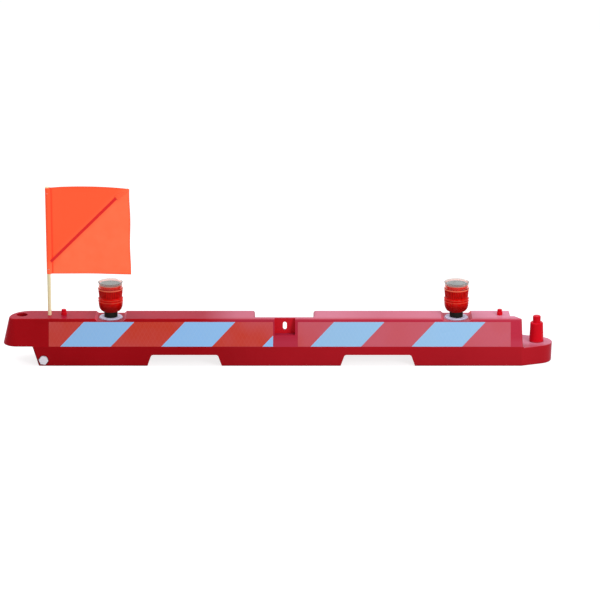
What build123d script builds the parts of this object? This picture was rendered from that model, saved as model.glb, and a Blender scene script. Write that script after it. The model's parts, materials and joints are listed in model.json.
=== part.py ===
"""Low water-filled plastic barricade with striped sheeting, two warning lights and a flag.

Millimetres. +X runs along the barricade towards the tongue, -Y is its front, +Z is up.
The origin is on the ground, under the middle of the barricade's length and width.
"""
import os
from math import atan, cos, radians, sin, tan

from build123d import *

os.makedirs("parts", exist_ok=True)

# Moulded body
LENGTH = 2438.4  # over the overhang and the tongue
WIDTH = 203.2  # at the parting line, where it is widest
HEIGHT = 208.0
TOP_WIDTH = 127.0
PARTING = 90.0  # height of the parting line
BASE_INSET = 3.0  # how far the lower sides draw in down to the ground
WALL = 6.0
TOP_ROUND = 6.5
BASE_ROUND = 5.5
EDGE_ROUND = 3.5  # along the tongue and under the overhang

# Ends of the body
OVERHANG_FRONT_ROUND = (64.0, 28.0)  # plan radius at the parting line and at the top
OVERHANG_REAR_ROUND = (100.0, 95.0)
OVERHANG_LEAN = 27.5  # how far the overhang's end leans back up to the top
RIGHT_END = 1087.0  # front corner of the upper end beside the tongue
RIGHT_FRONT_ROUND = 8.0
RIGHT_REAR_ROUND = 8.0
STEP_Y = -14.0  # behind here the right end steps back, clear of the next barricade's overhang
STEP_TIP = 37.0  # how far the front of the right end slants back to the step
STEP_BACK = 57.0  # how far the rear of the right end stands back
STEP_TIP_ROUND = 8.0
STEP_ROUND = 5.0
FOOT_END = -1087.5  # lower left end, at the parting line
FOOT_LEAN = 27.0
FOOT_ROUND = 10.0

# Coupling tongue, pin and hole
TONGUE_DROP = 4.0  # tongue top below the parting line
NOSE_RADIUS = 70.0
NOSE_ANGLE = 21.0  # how far the tongue's sides turn in
COUPLING_PITCH = 2286.0  # from the hole to the pin
PIN_BASE_RADIUS = 32.0
PIN_TOP_RADIUS = 28.5
PIN_CONE = 88.0  # height of the conical part
KNOB_RADIUS = 17.5
KNOB_HEIGHT = 30.0
PIN_EDGE = 3.0  # bevel of the pin's two rims
COUPLING_GAP = 4.0  # round the next barricade's pin and the nose of its tongue
HOLE_RADIUS = 25.0

# Stacking pegs and the sockets under the feet that sit on them
PEG_X = (-951.0, 984.0)
PEG_STEPS = ((12.5, 14.0), (10.5, 11.5))  # radius and height of each step
PEG_EDGE = 1.5
STACK_SOCKET_RADIUS = 15.0
STACK_SOCKET_DEPTH = 34.0

# Sections that the one-piece moulding is kept in: where they meet along its length
OVERHANG_SEAM = -988.0
MIDDLE_SEAMS = (-150.0, 205.0)
TONGUE_SEAM = 1089.0

# Light troughs and fill openings
LIGHT_X = {"left": -742.5, "right": 791.0}
TROUGH_DEPTH = 11.0
TROUGH_FLOOR = 115.0
RING_RADIUS = 52.0
RING_FLANGE = 3.0
NECK_RADIUS = 44.0
NECK_BORE = 40.0
NECK_DEPTH = 26.0
FIT = 0.3  # clearance round turning pieces

# Fill caps and the bolts that hold the lights on them
CAP_RADIUS = 50.0
CAP_DISC = 3.0
CAP_CHAMFER = 1.0
CAP_SKIRT = 39.6
CAP_SKIRT_WALL = 4.1
CAP_SKIRT_DEPTH = 23.5
CAP_GASKET = 1.5
CAP_GASKET_RADII = (49.5, 42.0)
BOLT_RADIUS = 5.0
BOLT_TOP = 12.5  # above the foot of the light
BOLT_FLATS = 16.0
BOLT_HEAD = 6.4
NUT_HEIGHT = 8.0
NUT_FIT = 0.05
WASHER_RADIUS = 10.0
WASHER = 1.6

# Warning lights, heights from the foot of the light
BASE_RADIUS = 29.6
BASE_WALL = 3.5
BASE_FLOOR = 4.0
BASE_TOP = 24.0
SEAL = 1.0
SEAL_RADII = (29.4, 26.2)
LENS_NECK = 25.6
LENS_WALL = 2.3
LENS_NECK_FOOT = 16.0
BOWL_RADIUS = 54.0
BOWL_TOP = 59.0
BOWL_RINGS = 7
BOWL_RING_DEPTH = 0.9
BOWL_FLOOR = 3.0  # thickness where the bowl meets the neck
BAND_FOOT = 71.0  # two raised rings with a groove between them
BAND_TOP = 86.0
BAND_RING = 4.0
BAND_RADIUS = 55.2
GROOVE_RADIUS = 53.5
BARREL_FOOT = 88.5
BARREL_RADII = (50.8, 54.8)  # at its foot and top
BARREL_TOP = 128.0
LENS_FLANGE_RADIUS = 55.5
LENS_FLANGE_TOP = 131.5
LENS_COLLAR = 49.8
LENS_TOP = 146.0
COVER_RADII = (52.8, 50.2)
COVER_RIM_RADIUS = 54.5
COVER_RIM_BORE = 51.0
COVER_RIM = 3.0
COVER_PLATE = 2.5
COVER_TOP = 160.0
COVER_DISH = 7.0  # top plate below the rim
TRAY_RADIUS = 46.8
TRAY_DEPTH = 3.0
TRAY_LIP = 1.8
TRAY_LIP_RADIUS = 49.6
PANEL_RADIUS = 46.0
HOLDER_WALL = 4.6
HOLDER_DISC = 2.0
HOLDER_TOP = 15.0
CELL_RADIUS = 7.0
CELL_PLACE = 9.0
CELL_HEIGHT = 48.5
CELL_STUD_RADIUS = 2.7
CELL_STUD = 1.5
CELL_COUNT = 3
BOARD_RADIUS = 22.5
BOARD = 1.6
POST_FLATS = 26.0
POST_TOP = 112.0
LED_COUNT = 12
LED_RADIUS = 2.5
LED_LENGTH = 5.0
LED_DOME = 2.0
LED_HEIGHT = 104.0

# Hook slot, front recess and rear notch at the middle
MIDDLE_X = 30.0
RECESS_WIDTH = 91.0
RECESS_FLOOR = 138.0
RECESS_BACK = -50.0
NOTCH_FRONT = -37.0
NOTCH_X = 27.0
NOTCH_WIDTH = 256.0
NOTCH_FLARE = 1.0  # degrees that each side opens towards the rear
NOTCH_FLOOR = 102.0
NOTCH_ROUND = 10.0
RAIL_ROUND = 14.0  # top of each side of the notch
SLOT_WIDTH = 17.0
SLOT_HEIGHT = 37.0
SLOT_MIDDLE = 172.0
SLOT_ROUND = 8.0

# Fork pockets
FORK_X = (-414.0, 442.0)
FORK_WIDTH = 330.0  # at the ground
FORK_HEIGHT = 52.0
FORK_DRAFT = 18.0
FORK_ROUND = 12.0

# Reflective sheeting
SHEET = 0.5
SHEET_LOW = 91.5  # heights of its lower and upper edges
SHEET_HIGH = 195.0
STRIPE = 223.5  # along the barricade; the bands slope at 45 degrees
BANDS = 3  # white bands that each panel has room for
PANELS = {  # start, end and first white band, along the face as its viewer sees it
    "front_left": (-1014.0, -22.0, -963.0),
    "front_right": (87.5, 1029.0, 144.0),
    "rear_left": (-1018.0, -205.0, -967.0),
    "rear_right": (150.0, 1007.0, 206.5),
}

# Drain
DRAIN_X = -1039.0
DRAIN_HEIGHT = 26.5
DRAIN_FACE = -93.0  # where the insert's flange stands
DRAIN_RECESS = 23.5
DRAIN_MOUTH = 30.0  # width of the recess down to the ground
INSERT_RADIUS = 20.0
INSERT_LENGTH = 27.0
DRAIN_BORE = 14.0
DRAIN_HEX = 37.0  # across flats
DRAIN_HEAD = 6.5
DRAIN_SHANK = 21.0
DRAIN_TURN = -7.0  # degrees the tightened hexagon stands turned
DRAIN_EDGE = 1.2
DRAIN_GASKET_RADII = (18.0, 14.5)
GASKET = 2.0

# Flag
FLAG_X = -1014.0
POLE_RADIUS = 7.9
POLE_HEIGHT = 588.0  # above the body
POLE_DEPTH = 95.0
POLE_EDGE = 1.0
BUSH_RADIUS = 12.0
BUSH_DEPTH = 20.0
CLOTH = 1.2
CLOTH_WIDTH = 372.0  # with the sleeve
CLOTH_HEIGHT = 392.5
CLOTH_DROP = 5.0  # cloth below the top of the pole
CLOTH_WAVE = 4.0
SLEEVE_RADIUS = 9.3
CLOTH_FOLDS = 3
STAY_FOOT = (20.5, 57.5)  # from the cloth's lower left corner
STAY_HEAD = (325.5, 360.2)
STAY_WIDTH = 12.0
STAY_THICK = 2.5
STAY_FRONT = 8.0  # in front of the middle of the cloth
POCKET_FOOT = (312.5, 347.3)
POCKET_WIDTH = 22.0
POCKET_CLOTH = 1.2
STAPLE_HEIGHTS = (22.0, 368.0)  # from the cloth's lower edge
STAPLE_WIRE = 1.0
STAPLE_WIDTH = 9.0
STAPLE_LEG = 8.0

# Worked-out levels and places
TONGUE_TOP = PARTING - TONGUE_DROP
UPPER_SLOPE = (WIDTH - TOP_WIDTH) / 2 / (HEIGHT - PARTING)
FACE_LEAN = atan(UPPER_SLOPE)
TROUGH_Z = HEIGHT - TROUGH_DEPTH
CAP_Z = TROUGH_Z + CAP_GASKET
LIGHT_Z = CAP_Z + CAP_DISC
BOLT_HOLE = BOLT_RADIUS + FIT
LEFT_END = -LENGTH / 2
NOSE_X = LENGTH / 2 - NOSE_RADIUS
PIN_X = NOSE_X
HOLE_X = PIN_X - COUPLING_PITCH
SOCKET_RADIUS = PIN_BASE_RADIUS + COUPLING_GAP
SOCKET_SHOULDER = PARTING + PIN_CONE + TONGUE_DROP / 2
CUP_RADIUS = STACK_SOCKET_RADIUS + WALL
CUP_HEIGHT = STACK_SOCKET_DEPTH + WALL
BEYOND = 40.0  # how far cutting shapes reach past the body
BELOW = -BEYOND
ABOVE = HEIGHT + BEYOND
SECTIONS = {  # start and end along the length, foot and top
    "overhang_shell": (LEFT_END - BEYOND, OVERHANG_SEAM, PARTING, ABOVE),
    "left_upper_shell": (OVERHANG_SEAM, MIDDLE_SEAMS[0], PARTING, ABOVE),
    "left_lower_shell": (LEFT_END - BEYOND, MIDDLE_SEAMS[0], BELOW, PARTING),
    "middle_shell": (*MIDDLE_SEAMS, BELOW, ABOVE),
    "right_upper_shell": (MIDDLE_SEAMS[1], TONGUE_SEAM, PARTING, ABOVE),
    "right_lower_shell": (MIDDLE_SEAMS[1], TONGUE_SEAM, BELOW, PARTING),
    "tongue_shell": (TONGUE_SEAM, LENGTH / 2 + BEYOND, BELOW, ABOVE),
}
SLEEVE_BORE = POLE_RADIUS + FIT
CLOTH_LEFT = FLAG_X - SLEEVE_RADIUS
CLOTH_LOW = HEIGHT + POLE_HEIGHT - CLOTH_DROP - CLOTH_HEIGHT
drain_plane = Plane(origin=(DRAIN_X, DRAIN_FACE, DRAIN_HEIGHT), x_dir=(1, 0, 0), z_dir=(0, -1, 0))


def save(piece, name):
    """Labels a finished piece and writes it under its own name."""
    piece.part.label = name
    export_step(piece.part, f"parts/{name}.step")


def turned(x, base, profile, mode=Mode.ADD):
    """Revolves a closed outline of (radius, height) points about the upright line at x."""
    with BuildSketch(Plane(origin=(x, 0, base), x_dir=(1, 0, 0), z_dir=(0, -1, 0))) as outline:
        with BuildLine():
            Polyline(*profile, close=True)
        make_face()
    revolve(outline.sketch, axis=Axis((x, 0, base), (0, 0, 1)), mode=mode)


def ring(x, base, outer, inner, height, mode=Mode.ADD):
    """A plain upright ring; an inner radius of 0 makes a disc."""
    turned(x, base, [(inner, 0), (outer, 0), (outer, height), (inner, height)], mode)


def swell(grow):
    """Widens the sketch being drawn by this much all round, or narrows it."""
    if grow:
        offset(amount=grow, kind=Kind.INTERSECTION)


# Moulded body
def upper_plan(z, inset):
    """Plan of the upper half at height z: round at the overhang, stepped back at the tongue."""
    up = (z - PARTING) / (HEIGHT - PARTING)
    left = LEFT_END + OVERHANG_LEAN * up
    step = RIGHT_END - STEP_BACK
    half = WIDTH / 2 - UPPER_SLOPE * (z - PARTING)
    front_round = OVERHANG_FRONT_ROUND[0] * (1 - up) + OVERHANG_FRONT_ROUND[1] * up
    rear_round = OVERHANG_REAR_ROUND[0] * (1 - up) + OVERHANG_REAR_ROUND[1] * up
    corners = [(left, -half), (RIGHT_END, -half), (RIGHT_END - STEP_TIP, STEP_Y), (step, STEP_Y),
               (step, half), (left, half)]
    rounds = [front_round - inset, RIGHT_FRONT_ROUND - inset, STEP_TIP_ROUND - inset, STEP_ROUND + inset,
              RIGHT_REAR_ROUND - inset, rear_round - inset]
    with BuildSketch(Plane.XY.offset(z)) as plan:
        Polygon(*corners, align=None)
        swell(-inset)
        for corner, radius in zip(corners, rounds):
            fillet(plan.vertices().sort_by_distance((*corner, 0))[0], radius)
    return plan.sketch


def lower_plan(z, inset):
    """Plan of the lower half at height z: square foot, tongue drawn in to a round nose."""
    down = 1 - z / PARTING
    shrink = BASE_INSET * down + inset
    left = FOOT_END + FOOT_LEAN * down + inset
    half = WIDTH / 2 - shrink
    radius = NOSE_RADIUS - shrink
    turn = radians(NOSE_ANGLE)
    touch = (NOSE_X + radius * sin(turn), radius * cos(turn))
    start = touch[0] - (half - touch[1]) / tan(turn)
    with BuildSketch(Plane.XY.offset(z)) as plan:
        with BuildLine():
            Polyline((touch[0], touch[1]), (start, half), (left, half), (left, -half),
                     (start, -half), (touch[0], -touch[1]))
            ThreePointArc((touch[0], -touch[1]), (NOSE_X + radius, 0), (touch[0], touch[1]))
        make_face()
        fillet(plan.vertices().group_by(Axis.X)[0], FOOT_ROUND)
    return plan.sketch


def troughs(grow):
    """Shallow troughs across the top, with sloping ends, where the lights stand."""
    with BuildSketch(Plane.XZ) as section:
        for x in LIGHT_X.values():
            half = TROUGH_FLOOR / 2
            rise = TROUGH_DEPTH + BEYOND
            Polygon((x - half, TROUGH_Z), (x + half, TROUGH_Z), (x + half + rise, TROUGH_Z + rise),
                    (x - half - rise, TROUGH_Z + rise), align=None)
        swell(grow)
    extrude(section.sketch, amount=WIDTH, both=True, mode=Mode.SUBTRACT)


def fork_pockets(grow):
    """Two pockets right through under the body, for lifting forks."""
    half = FORK_WIDTH / 2
    splay = half + FORK_DRAFT / FORK_HEIGHT * BEYOND
    for x in FORK_X:
        with BuildSketch(Plane((x, 0, 0), x_dir=(1, 0, 0), z_dir=(0, -1, 0))) as section:
            Polygon((-splay, -BEYOND), (splay, -BEYOND), (half - FORK_DRAFT, FORK_HEIGHT),
                    (FORK_DRAFT - half, FORK_HEIGHT), align=None)
            fillet(section.vertices().group_by(Axis.Y)[-1], FORK_ROUND)
            swell(grow)
        extrude(section.sketch, amount=WIDTH, both=True, mode=Mode.SUBTRACT)


def rear_notch(grow):
    """Notch behind the middle of the body, open at the top and the rear."""
    reach = WIDTH / 2 + BEYOND
    flare = tan(radians(NOTCH_FLARE)) * (reach - NOTCH_FRONT)
    half = NOTCH_WIDTH / 2
    with BuildSketch(Plane.XY.offset(NOTCH_FLOOR - grow)) as plan:
        Polygon((NOTCH_X - half, NOTCH_FRONT), (NOTCH_X + half, NOTCH_FRONT),
                (NOTCH_X + half + flare, reach), (NOTCH_X - half - flare, reach), align=None)
        fillet(plan.vertices().group_by(Axis.Y)[0], NOTCH_ROUND)
        swell(grow)
    extrude(plan.sketch, amount=HEIGHT, mode=Mode.SUBTRACT)


def rail_ends():
    """Rounds the top edge of each side of the rear notch."""
    flare = radians(NOTCH_FLARE)
    for way in (-1, 1):
        corner = (NOTCH_X + way * NOTCH_WIDTH / 2, NOTCH_FRONT, HEIGHT)
        along = (way * sin(flare), cos(flare), 0)
        with BuildSketch(Plane(corner, x_dir=(way * cos(flare), -sin(flare), 0), z_dir=along)) as waste:
            Rectangle(2 * RAIL_ROUND, 2 * RAIL_ROUND)
            with Locations((RAIL_ROUND, way * RAIL_ROUND)):
                Circle(RAIL_ROUND, mode=Mode.SUBTRACT)
        extrude(waste.sketch, amount=WIDTH, mode=Mode.SUBTRACT)


def front_recess(grow):
    """Recess in the front at the middle, open at the top; behind it stands the hook's web."""
    front = -WIDTH / 2 - BEYOND
    back = RECESS_BACK if not grow else NOTCH_FRONT
    with BuildSketch(Plane.XY.offset(RECESS_FLOOR - grow)) as plan:
        with Locations((MIDDLE_X, (front + back) / 2)):
            Rectangle(RECESS_WIDTH + 2 * grow, back - front)
    extrude(plan.sketch, amount=HEIGHT, mode=Mode.SUBTRACT)


def coupling_socket(grow):
    """Stepped hole through the overhang, which drops over the next barricade's pin."""
    ring(HOLE_X, 0, SOCKET_RADIUS + grow, 0, SOCKET_SHOULDER + grow, Mode.SUBTRACT)
    ring(HOLE_X, 0, HOLE_RADIUS + grow, 0, ABOVE, Mode.SUBTRACT)


def stacking_cups():
    """Room in the feet for the cups that sit on the pegs of the barricade below."""
    for x in PEG_X:
        ring(x, BELOW, CUP_RADIUS, 0, CUP_HEIGHT - BELOW, Mode.SUBTRACT)


def nose_room(grow):
    """Hollow in the left foot for the round nose of the next barricade's tongue."""
    ring(HOLE_X, BELOW, NOSE_RADIUS + COUPLING_GAP + grow, 0, PARTING + grow - BELOW, Mode.SUBTRACT)


def flag_socket(grow):
    """Blind socket of the flag pole, wider at the top for its bush."""
    deep = HEIGHT - POLE_DEPTH - grow
    ring(FLAG_X, deep, POLE_RADIUS + 2 * FIT + grow, 0, HEIGHT, Mode.SUBTRACT)
    ring(FLAG_X, HEIGHT - BUSH_DEPTH - grow, BUSH_RADIUS + FIT + grow, 0, HEIGHT, Mode.SUBTRACT)


def drain_recess(grow):
    """Recess round the drain plug, open to the ground."""
    with BuildSketch(drain_plane.offset(-grow)) as outline:
        Circle(DRAIN_RECESS + grow)
        with Locations((0, -DRAIN_HEIGHT)):
            Rectangle(DRAIN_MOUTH + 2 * grow, 2 * DRAIN_HEIGHT)
    extrude(outline.sketch, amount=BEYOND, mode=Mode.SUBTRACT)


def shared_cuts(grow):
    """Every recess that the moulded wall follows."""
    troughs(grow)
    rear_notch(grow)
    front_recess(grow)
    coupling_socket(grow)
    stacking_cups()
    nose_room(grow)
    flag_socket(grow)
    drain_recess(grow)


def pin_profile(inset):
    """Radius and height points of the coupling pin, above the tongue."""
    foot, cone, knob = PIN_BASE_RADIUS - inset, PIN_TOP_RADIUS - inset, KNOB_RADIUS - inset
    shoulder = PIN_CONE - inset
    top = PIN_CONE + KNOB_HEIGHT - inset
    return [(0, -2 * WALL), (foot, -2 * WALL), (foot, 0), (cone, shoulder - PIN_EDGE),
            (cone - PIN_EDGE, shoulder), (knob, shoulder), (knob, top - PIN_EDGE),
            (knob - PIN_EDGE, top), (0, top)]


def peg_profile():
    """Radius and height points of a stacking peg, from inside the top wall up."""
    points = [(0, -WALL)]
    step_foot = -WALL
    step_top = 0
    for radius, rise in PEG_STEPS:
        step_top += rise
        points += [(radius, step_foot), (radius, step_top - PEG_EDGE), (radius - PEG_EDGE, step_top)]
        step_foot = step_top
    return points + [(0, step_top)]


# The water space, a wall's thickness inside the body and its recesses
with BuildPart() as tank:
    loft([upper_plan(PARTING + WALL, WALL), upper_plan(HEIGHT - WALL, WALL)], ruled=True)
    loft([lower_plan(WALL, WALL), lower_plan(TONGUE_TOP - WALL, WALL)], ruled=True)
    throat_left = FOOT_END + FOOT_LEAN + WALL
    throat_right = RIGHT_END - STEP_BACK - WALL
    with Locations(((throat_left + throat_right) / 2, 0, PARTING)):
        Box(throat_right - throat_left, WIDTH - 3 * WALL, 4 * WALL)
    fork_pockets(WALL)
    shared_cuts(WALL)
    for x in LIGHT_X.values():
        ring(x, TROUGH_Z - 2 * WALL, RING_RADIUS + WALL, 0, 2 * WALL, Mode.SUBTRACT)
    with BuildSketch(drain_plane):
        Circle(INSERT_RADIUS + WALL)
    extrude(amount=-INSERT_LENGTH, mode=Mode.SUBTRACT)
    turned(PIN_X, TONGUE_TOP, pin_profile(WALL))

foot_plane = Plane(origin=(FOOT_END, 0, 0), z_dir=(1, 0, 0))

# The end of the upper half that reaches out past the foot, rounded along its underside
with BuildPart() as overhang:
    loft([upper_plan(PARTING, 0), upper_plan(HEIGHT, 0)], ruled=True)
    split(bisect_by=foot_plane, keep=Keep.BOTTOM)
    fillet(overhang.edges().group_by(Axis.Z)[0].sort_by(Axis.X)[:-1], EDGE_ROUND)

# The lower half and its feet
with BuildPart() as feet:
    loft([lower_plan(0, 0), lower_plan(PARTING, 0)], ruled=True)
    fork_pockets(0)
    fillet(feet.edges().group_by(Axis.Z)[0], BASE_ROUND)

with BuildPart() as shell:
    loft([upper_plan(PARTING, 0), upper_plan(HEIGHT, 0)], ruled=True)
    split(bisect_by=foot_plane, keep=Keep.TOP)
    add(overhang.part)
    fillet(shell.edges().group_by(Axis.Z)[-1], TOP_ROUND)
    add(feet.part)
    tongue_cut = LENGTH / 2 + BEYOND - RIGHT_END
    with Locations((RIGHT_END + tongue_cut / 2, 0, TONGUE_TOP + TONGUE_DROP / 2)):
        Box(tongue_cut, 2 * WIDTH, TONGUE_DROP, mode=Mode.SUBTRACT)
    tongue_edges = shell.edges().filter_by_position(Axis.Z, TONGUE_TOP - 0.1, TONGUE_TOP + 0.1)
    fillet(tongue_edges.sort_by(Axis.X)[1:], EDGE_ROUND)
    turned(PIN_X, TONGUE_TOP, pin_profile(0))
    for x in PEG_X:
        turned(x, HEIGHT, peg_profile())
    shared_cuts(0)
    rail_ends()
    with BuildSketch(Plane.XZ.offset(-NOTCH_FRONT)):
        with Locations((MIDDLE_X, SLOT_MIDDLE)):
            RectangleRounded(SLOT_WIDTH, SLOT_HEIGHT, SLOT_ROUND)
    extrude(amount=BEYOND, both=True, mode=Mode.SUBTRACT)
    add(tank.part, mode=Mode.SUBTRACT)
    for x in LIGHT_X.values():
        ring(x, TROUGH_Z - 3 * WALL, NECK_RADIUS + FIT, 0, HEIGHT, Mode.SUBTRACT)
        ring(x, TROUGH_Z - RING_FLANGE, RING_RADIUS + FIT, 0, HEIGHT, Mode.SUBTRACT)
    with BuildSketch(drain_plane):
        Circle(INSERT_RADIUS + FIT)
    extrude(amount=-INSERT_LENGTH, mode=Mode.SUBTRACT)

for name, (start, end, low, high) in SECTIONS.items():
    with BuildPart() as section:
        add(shell.part)
        with Locations(((start + end) / 2, 0, (low + high) / 2)):
            Box(end - start, 2 * WIDTH, high - low, mode=Mode.INTERSECT)
    save(section, name)

for side, x in zip(LIGHT_X, PEG_X):
    with BuildPart() as stacking_cup:
        ring(x, 0, CUP_RADIUS, 0, CUP_HEIGHT)
        ring(x, 0, STACK_SOCKET_RADIUS, 0, STACK_SOCKET_DEPTH, Mode.SUBTRACT)
    save(stacking_cup, f"{side}_stacking_cup")


# Reflective sheeting
def side_plane(panel):
    """Plane of the leaning front or rear face, with x to the right of someone facing it."""
    facing = -1 if panel.startswith("front") else 1
    return Plane(origin=(0, facing * WIDTH / 2, PARTING), x_dir=(-facing, 0, 0),
                 z_dir=(0, facing * cos(FACE_LEAN), sin(FACE_LEAN)))


def sheeting(panel):
    """The whole of one panel, and its white bands, drawn on the body's face."""
    start, end, first = PANELS[panel]
    low = (SHEET_LOW - PARTING) / cos(FACE_LEAN)
    high = (SHEET_HIGH - PARTING) / cos(FACE_LEAN)
    shift = SHEET_HIGH - SHEET_LOW
    with BuildSketch(side_plane(panel)) as whole:
        with Locations(((start + end) / 2, (low + high) / 2)):
            Rectangle(end - start, high - low)
    with BuildSketch(side_plane(panel)) as white:
        for number in range(BANDS):
            left = first + 2 * number * STRIPE
            right = left + STRIPE
            Polygon((left, low), (right, low), (right + shift, high), (left + shift, high), align=None)
        with Locations(((start + end) / 2, (low + high) / 2)):
            Rectangle(end - start, high - low, mode=Mode.INTERSECT)
    return whole.sketch, white.sketch


for panel in PANELS:
    whole, white = sheeting(panel)
    with BuildPart() as white_stripes:
        extrude(white, amount=SHEET)
    save(white_stripes, f"{panel}_white_stripes")
    with BuildPart() as red_stripes:
        extrude(whole, amount=SHEET)
        extrude(white, amount=SHEET, mode=Mode.SUBTRACT)
    save(red_stripes, f"{panel}_red_stripes")


# Fill openings and the bolts of the lights
def hexagon(x, base, flats, height):
    """Upright hexagonal prism."""
    with BuildSketch(Plane((x, 0, base))) as outline:
        RegularPolygon(flats / 2, 6, major_radius=False)
    extrude(outline.sketch, amount=height)


for side, x in LIGHT_X.items():
    with BuildPart() as fill_ring:
        turned(x, TROUGH_Z, [(NECK_BORE, 0), (RING_RADIUS, 0), (RING_RADIUS, -RING_FLANGE),
                             (NECK_RADIUS, -RING_FLANGE), (NECK_RADIUS, -NECK_DEPTH),
                             (NECK_BORE, -NECK_DEPTH)])
    save(fill_ring, f"{side}_fill_ring")

    with BuildPart() as cap_gasket:
        ring(x, TROUGH_Z, *CAP_GASKET_RADII, CAP_GASKET)
    save(cap_gasket, f"{side}_cap_gasket")

    with BuildPart() as fill_cap:
        skirt_inner = CAP_SKIRT - CAP_SKIRT_WALL
        turned(x, CAP_Z, [(BOLT_HOLE, 0), (skirt_inner, 0), (skirt_inner, -CAP_SKIRT_DEPTH),
                          (CAP_SKIRT, -CAP_SKIRT_DEPTH), (CAP_SKIRT, 0), (CAP_RADIUS, 0),
                          (CAP_RADIUS, CAP_DISC - CAP_CHAMFER), (CAP_RADIUS - CAP_CHAMFER, CAP_DISC),
                          (BOLT_HOLE, CAP_DISC)])
    save(fill_cap, f"{side}_fill_cap")

    with BuildPart() as light_washer:
        ring(x, CAP_Z - WASHER, WASHER_RADIUS, BOLT_HOLE, WASHER)
    save(light_washer, f"{side}_light_washer")

    with BuildPart() as light_bolt:
        head_top = CAP_Z - WASHER
        hexagon(x, head_top - BOLT_HEAD, BOLT_FLATS, BOLT_HEAD)
        ring(x, head_top, BOLT_RADIUS, 0, LIGHT_Z + BOLT_TOP - head_top)
    save(light_bolt, f"{side}_light_bolt")

    with BuildPart() as light_nut:
        hexagon(x, LIGHT_Z + BASE_FLOOR, BOLT_FLATS, NUT_HEIGHT)
        ring(x, LIGHT_Z, BOLT_RADIUS + NUT_FIT, 0, BASE_TOP, Mode.SUBTRACT)
    save(light_nut, f"{side}_light_nut")


# Warning lights
def bowl_point(share, inset):
    """Point of the lens bowl's quarter oval, from its foot (0) to its rim (1)."""
    angle = radians(90 * share)
    foot = BASE_TOP + SEAL
    wide = BOWL_RADIUS - BASE_RADIUS
    high = BOWL_TOP - foot
    size = ((high * sin(angle)) ** 2 + (wide * cos(angle)) ** 2) ** 0.5
    return (BASE_RADIUS + wide * sin(angle) - inset * high * sin(angle) / size,
            BOWL_TOP - high * cos(angle) + inset * wide * cos(angle) / size)


def bowl_rings():
    """Outline of the ringed bowl: ridges on the oval with a shallow valley between each two."""
    points = [bowl_point(0, 0)]
    for number in range(BOWL_RINGS):
        points.append(bowl_point((number + 0.5) / BOWL_RINGS, BOWL_RING_DEPTH))
        points.append(bowl_point((number + 1) / BOWL_RINGS, 0))
    return points


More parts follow.
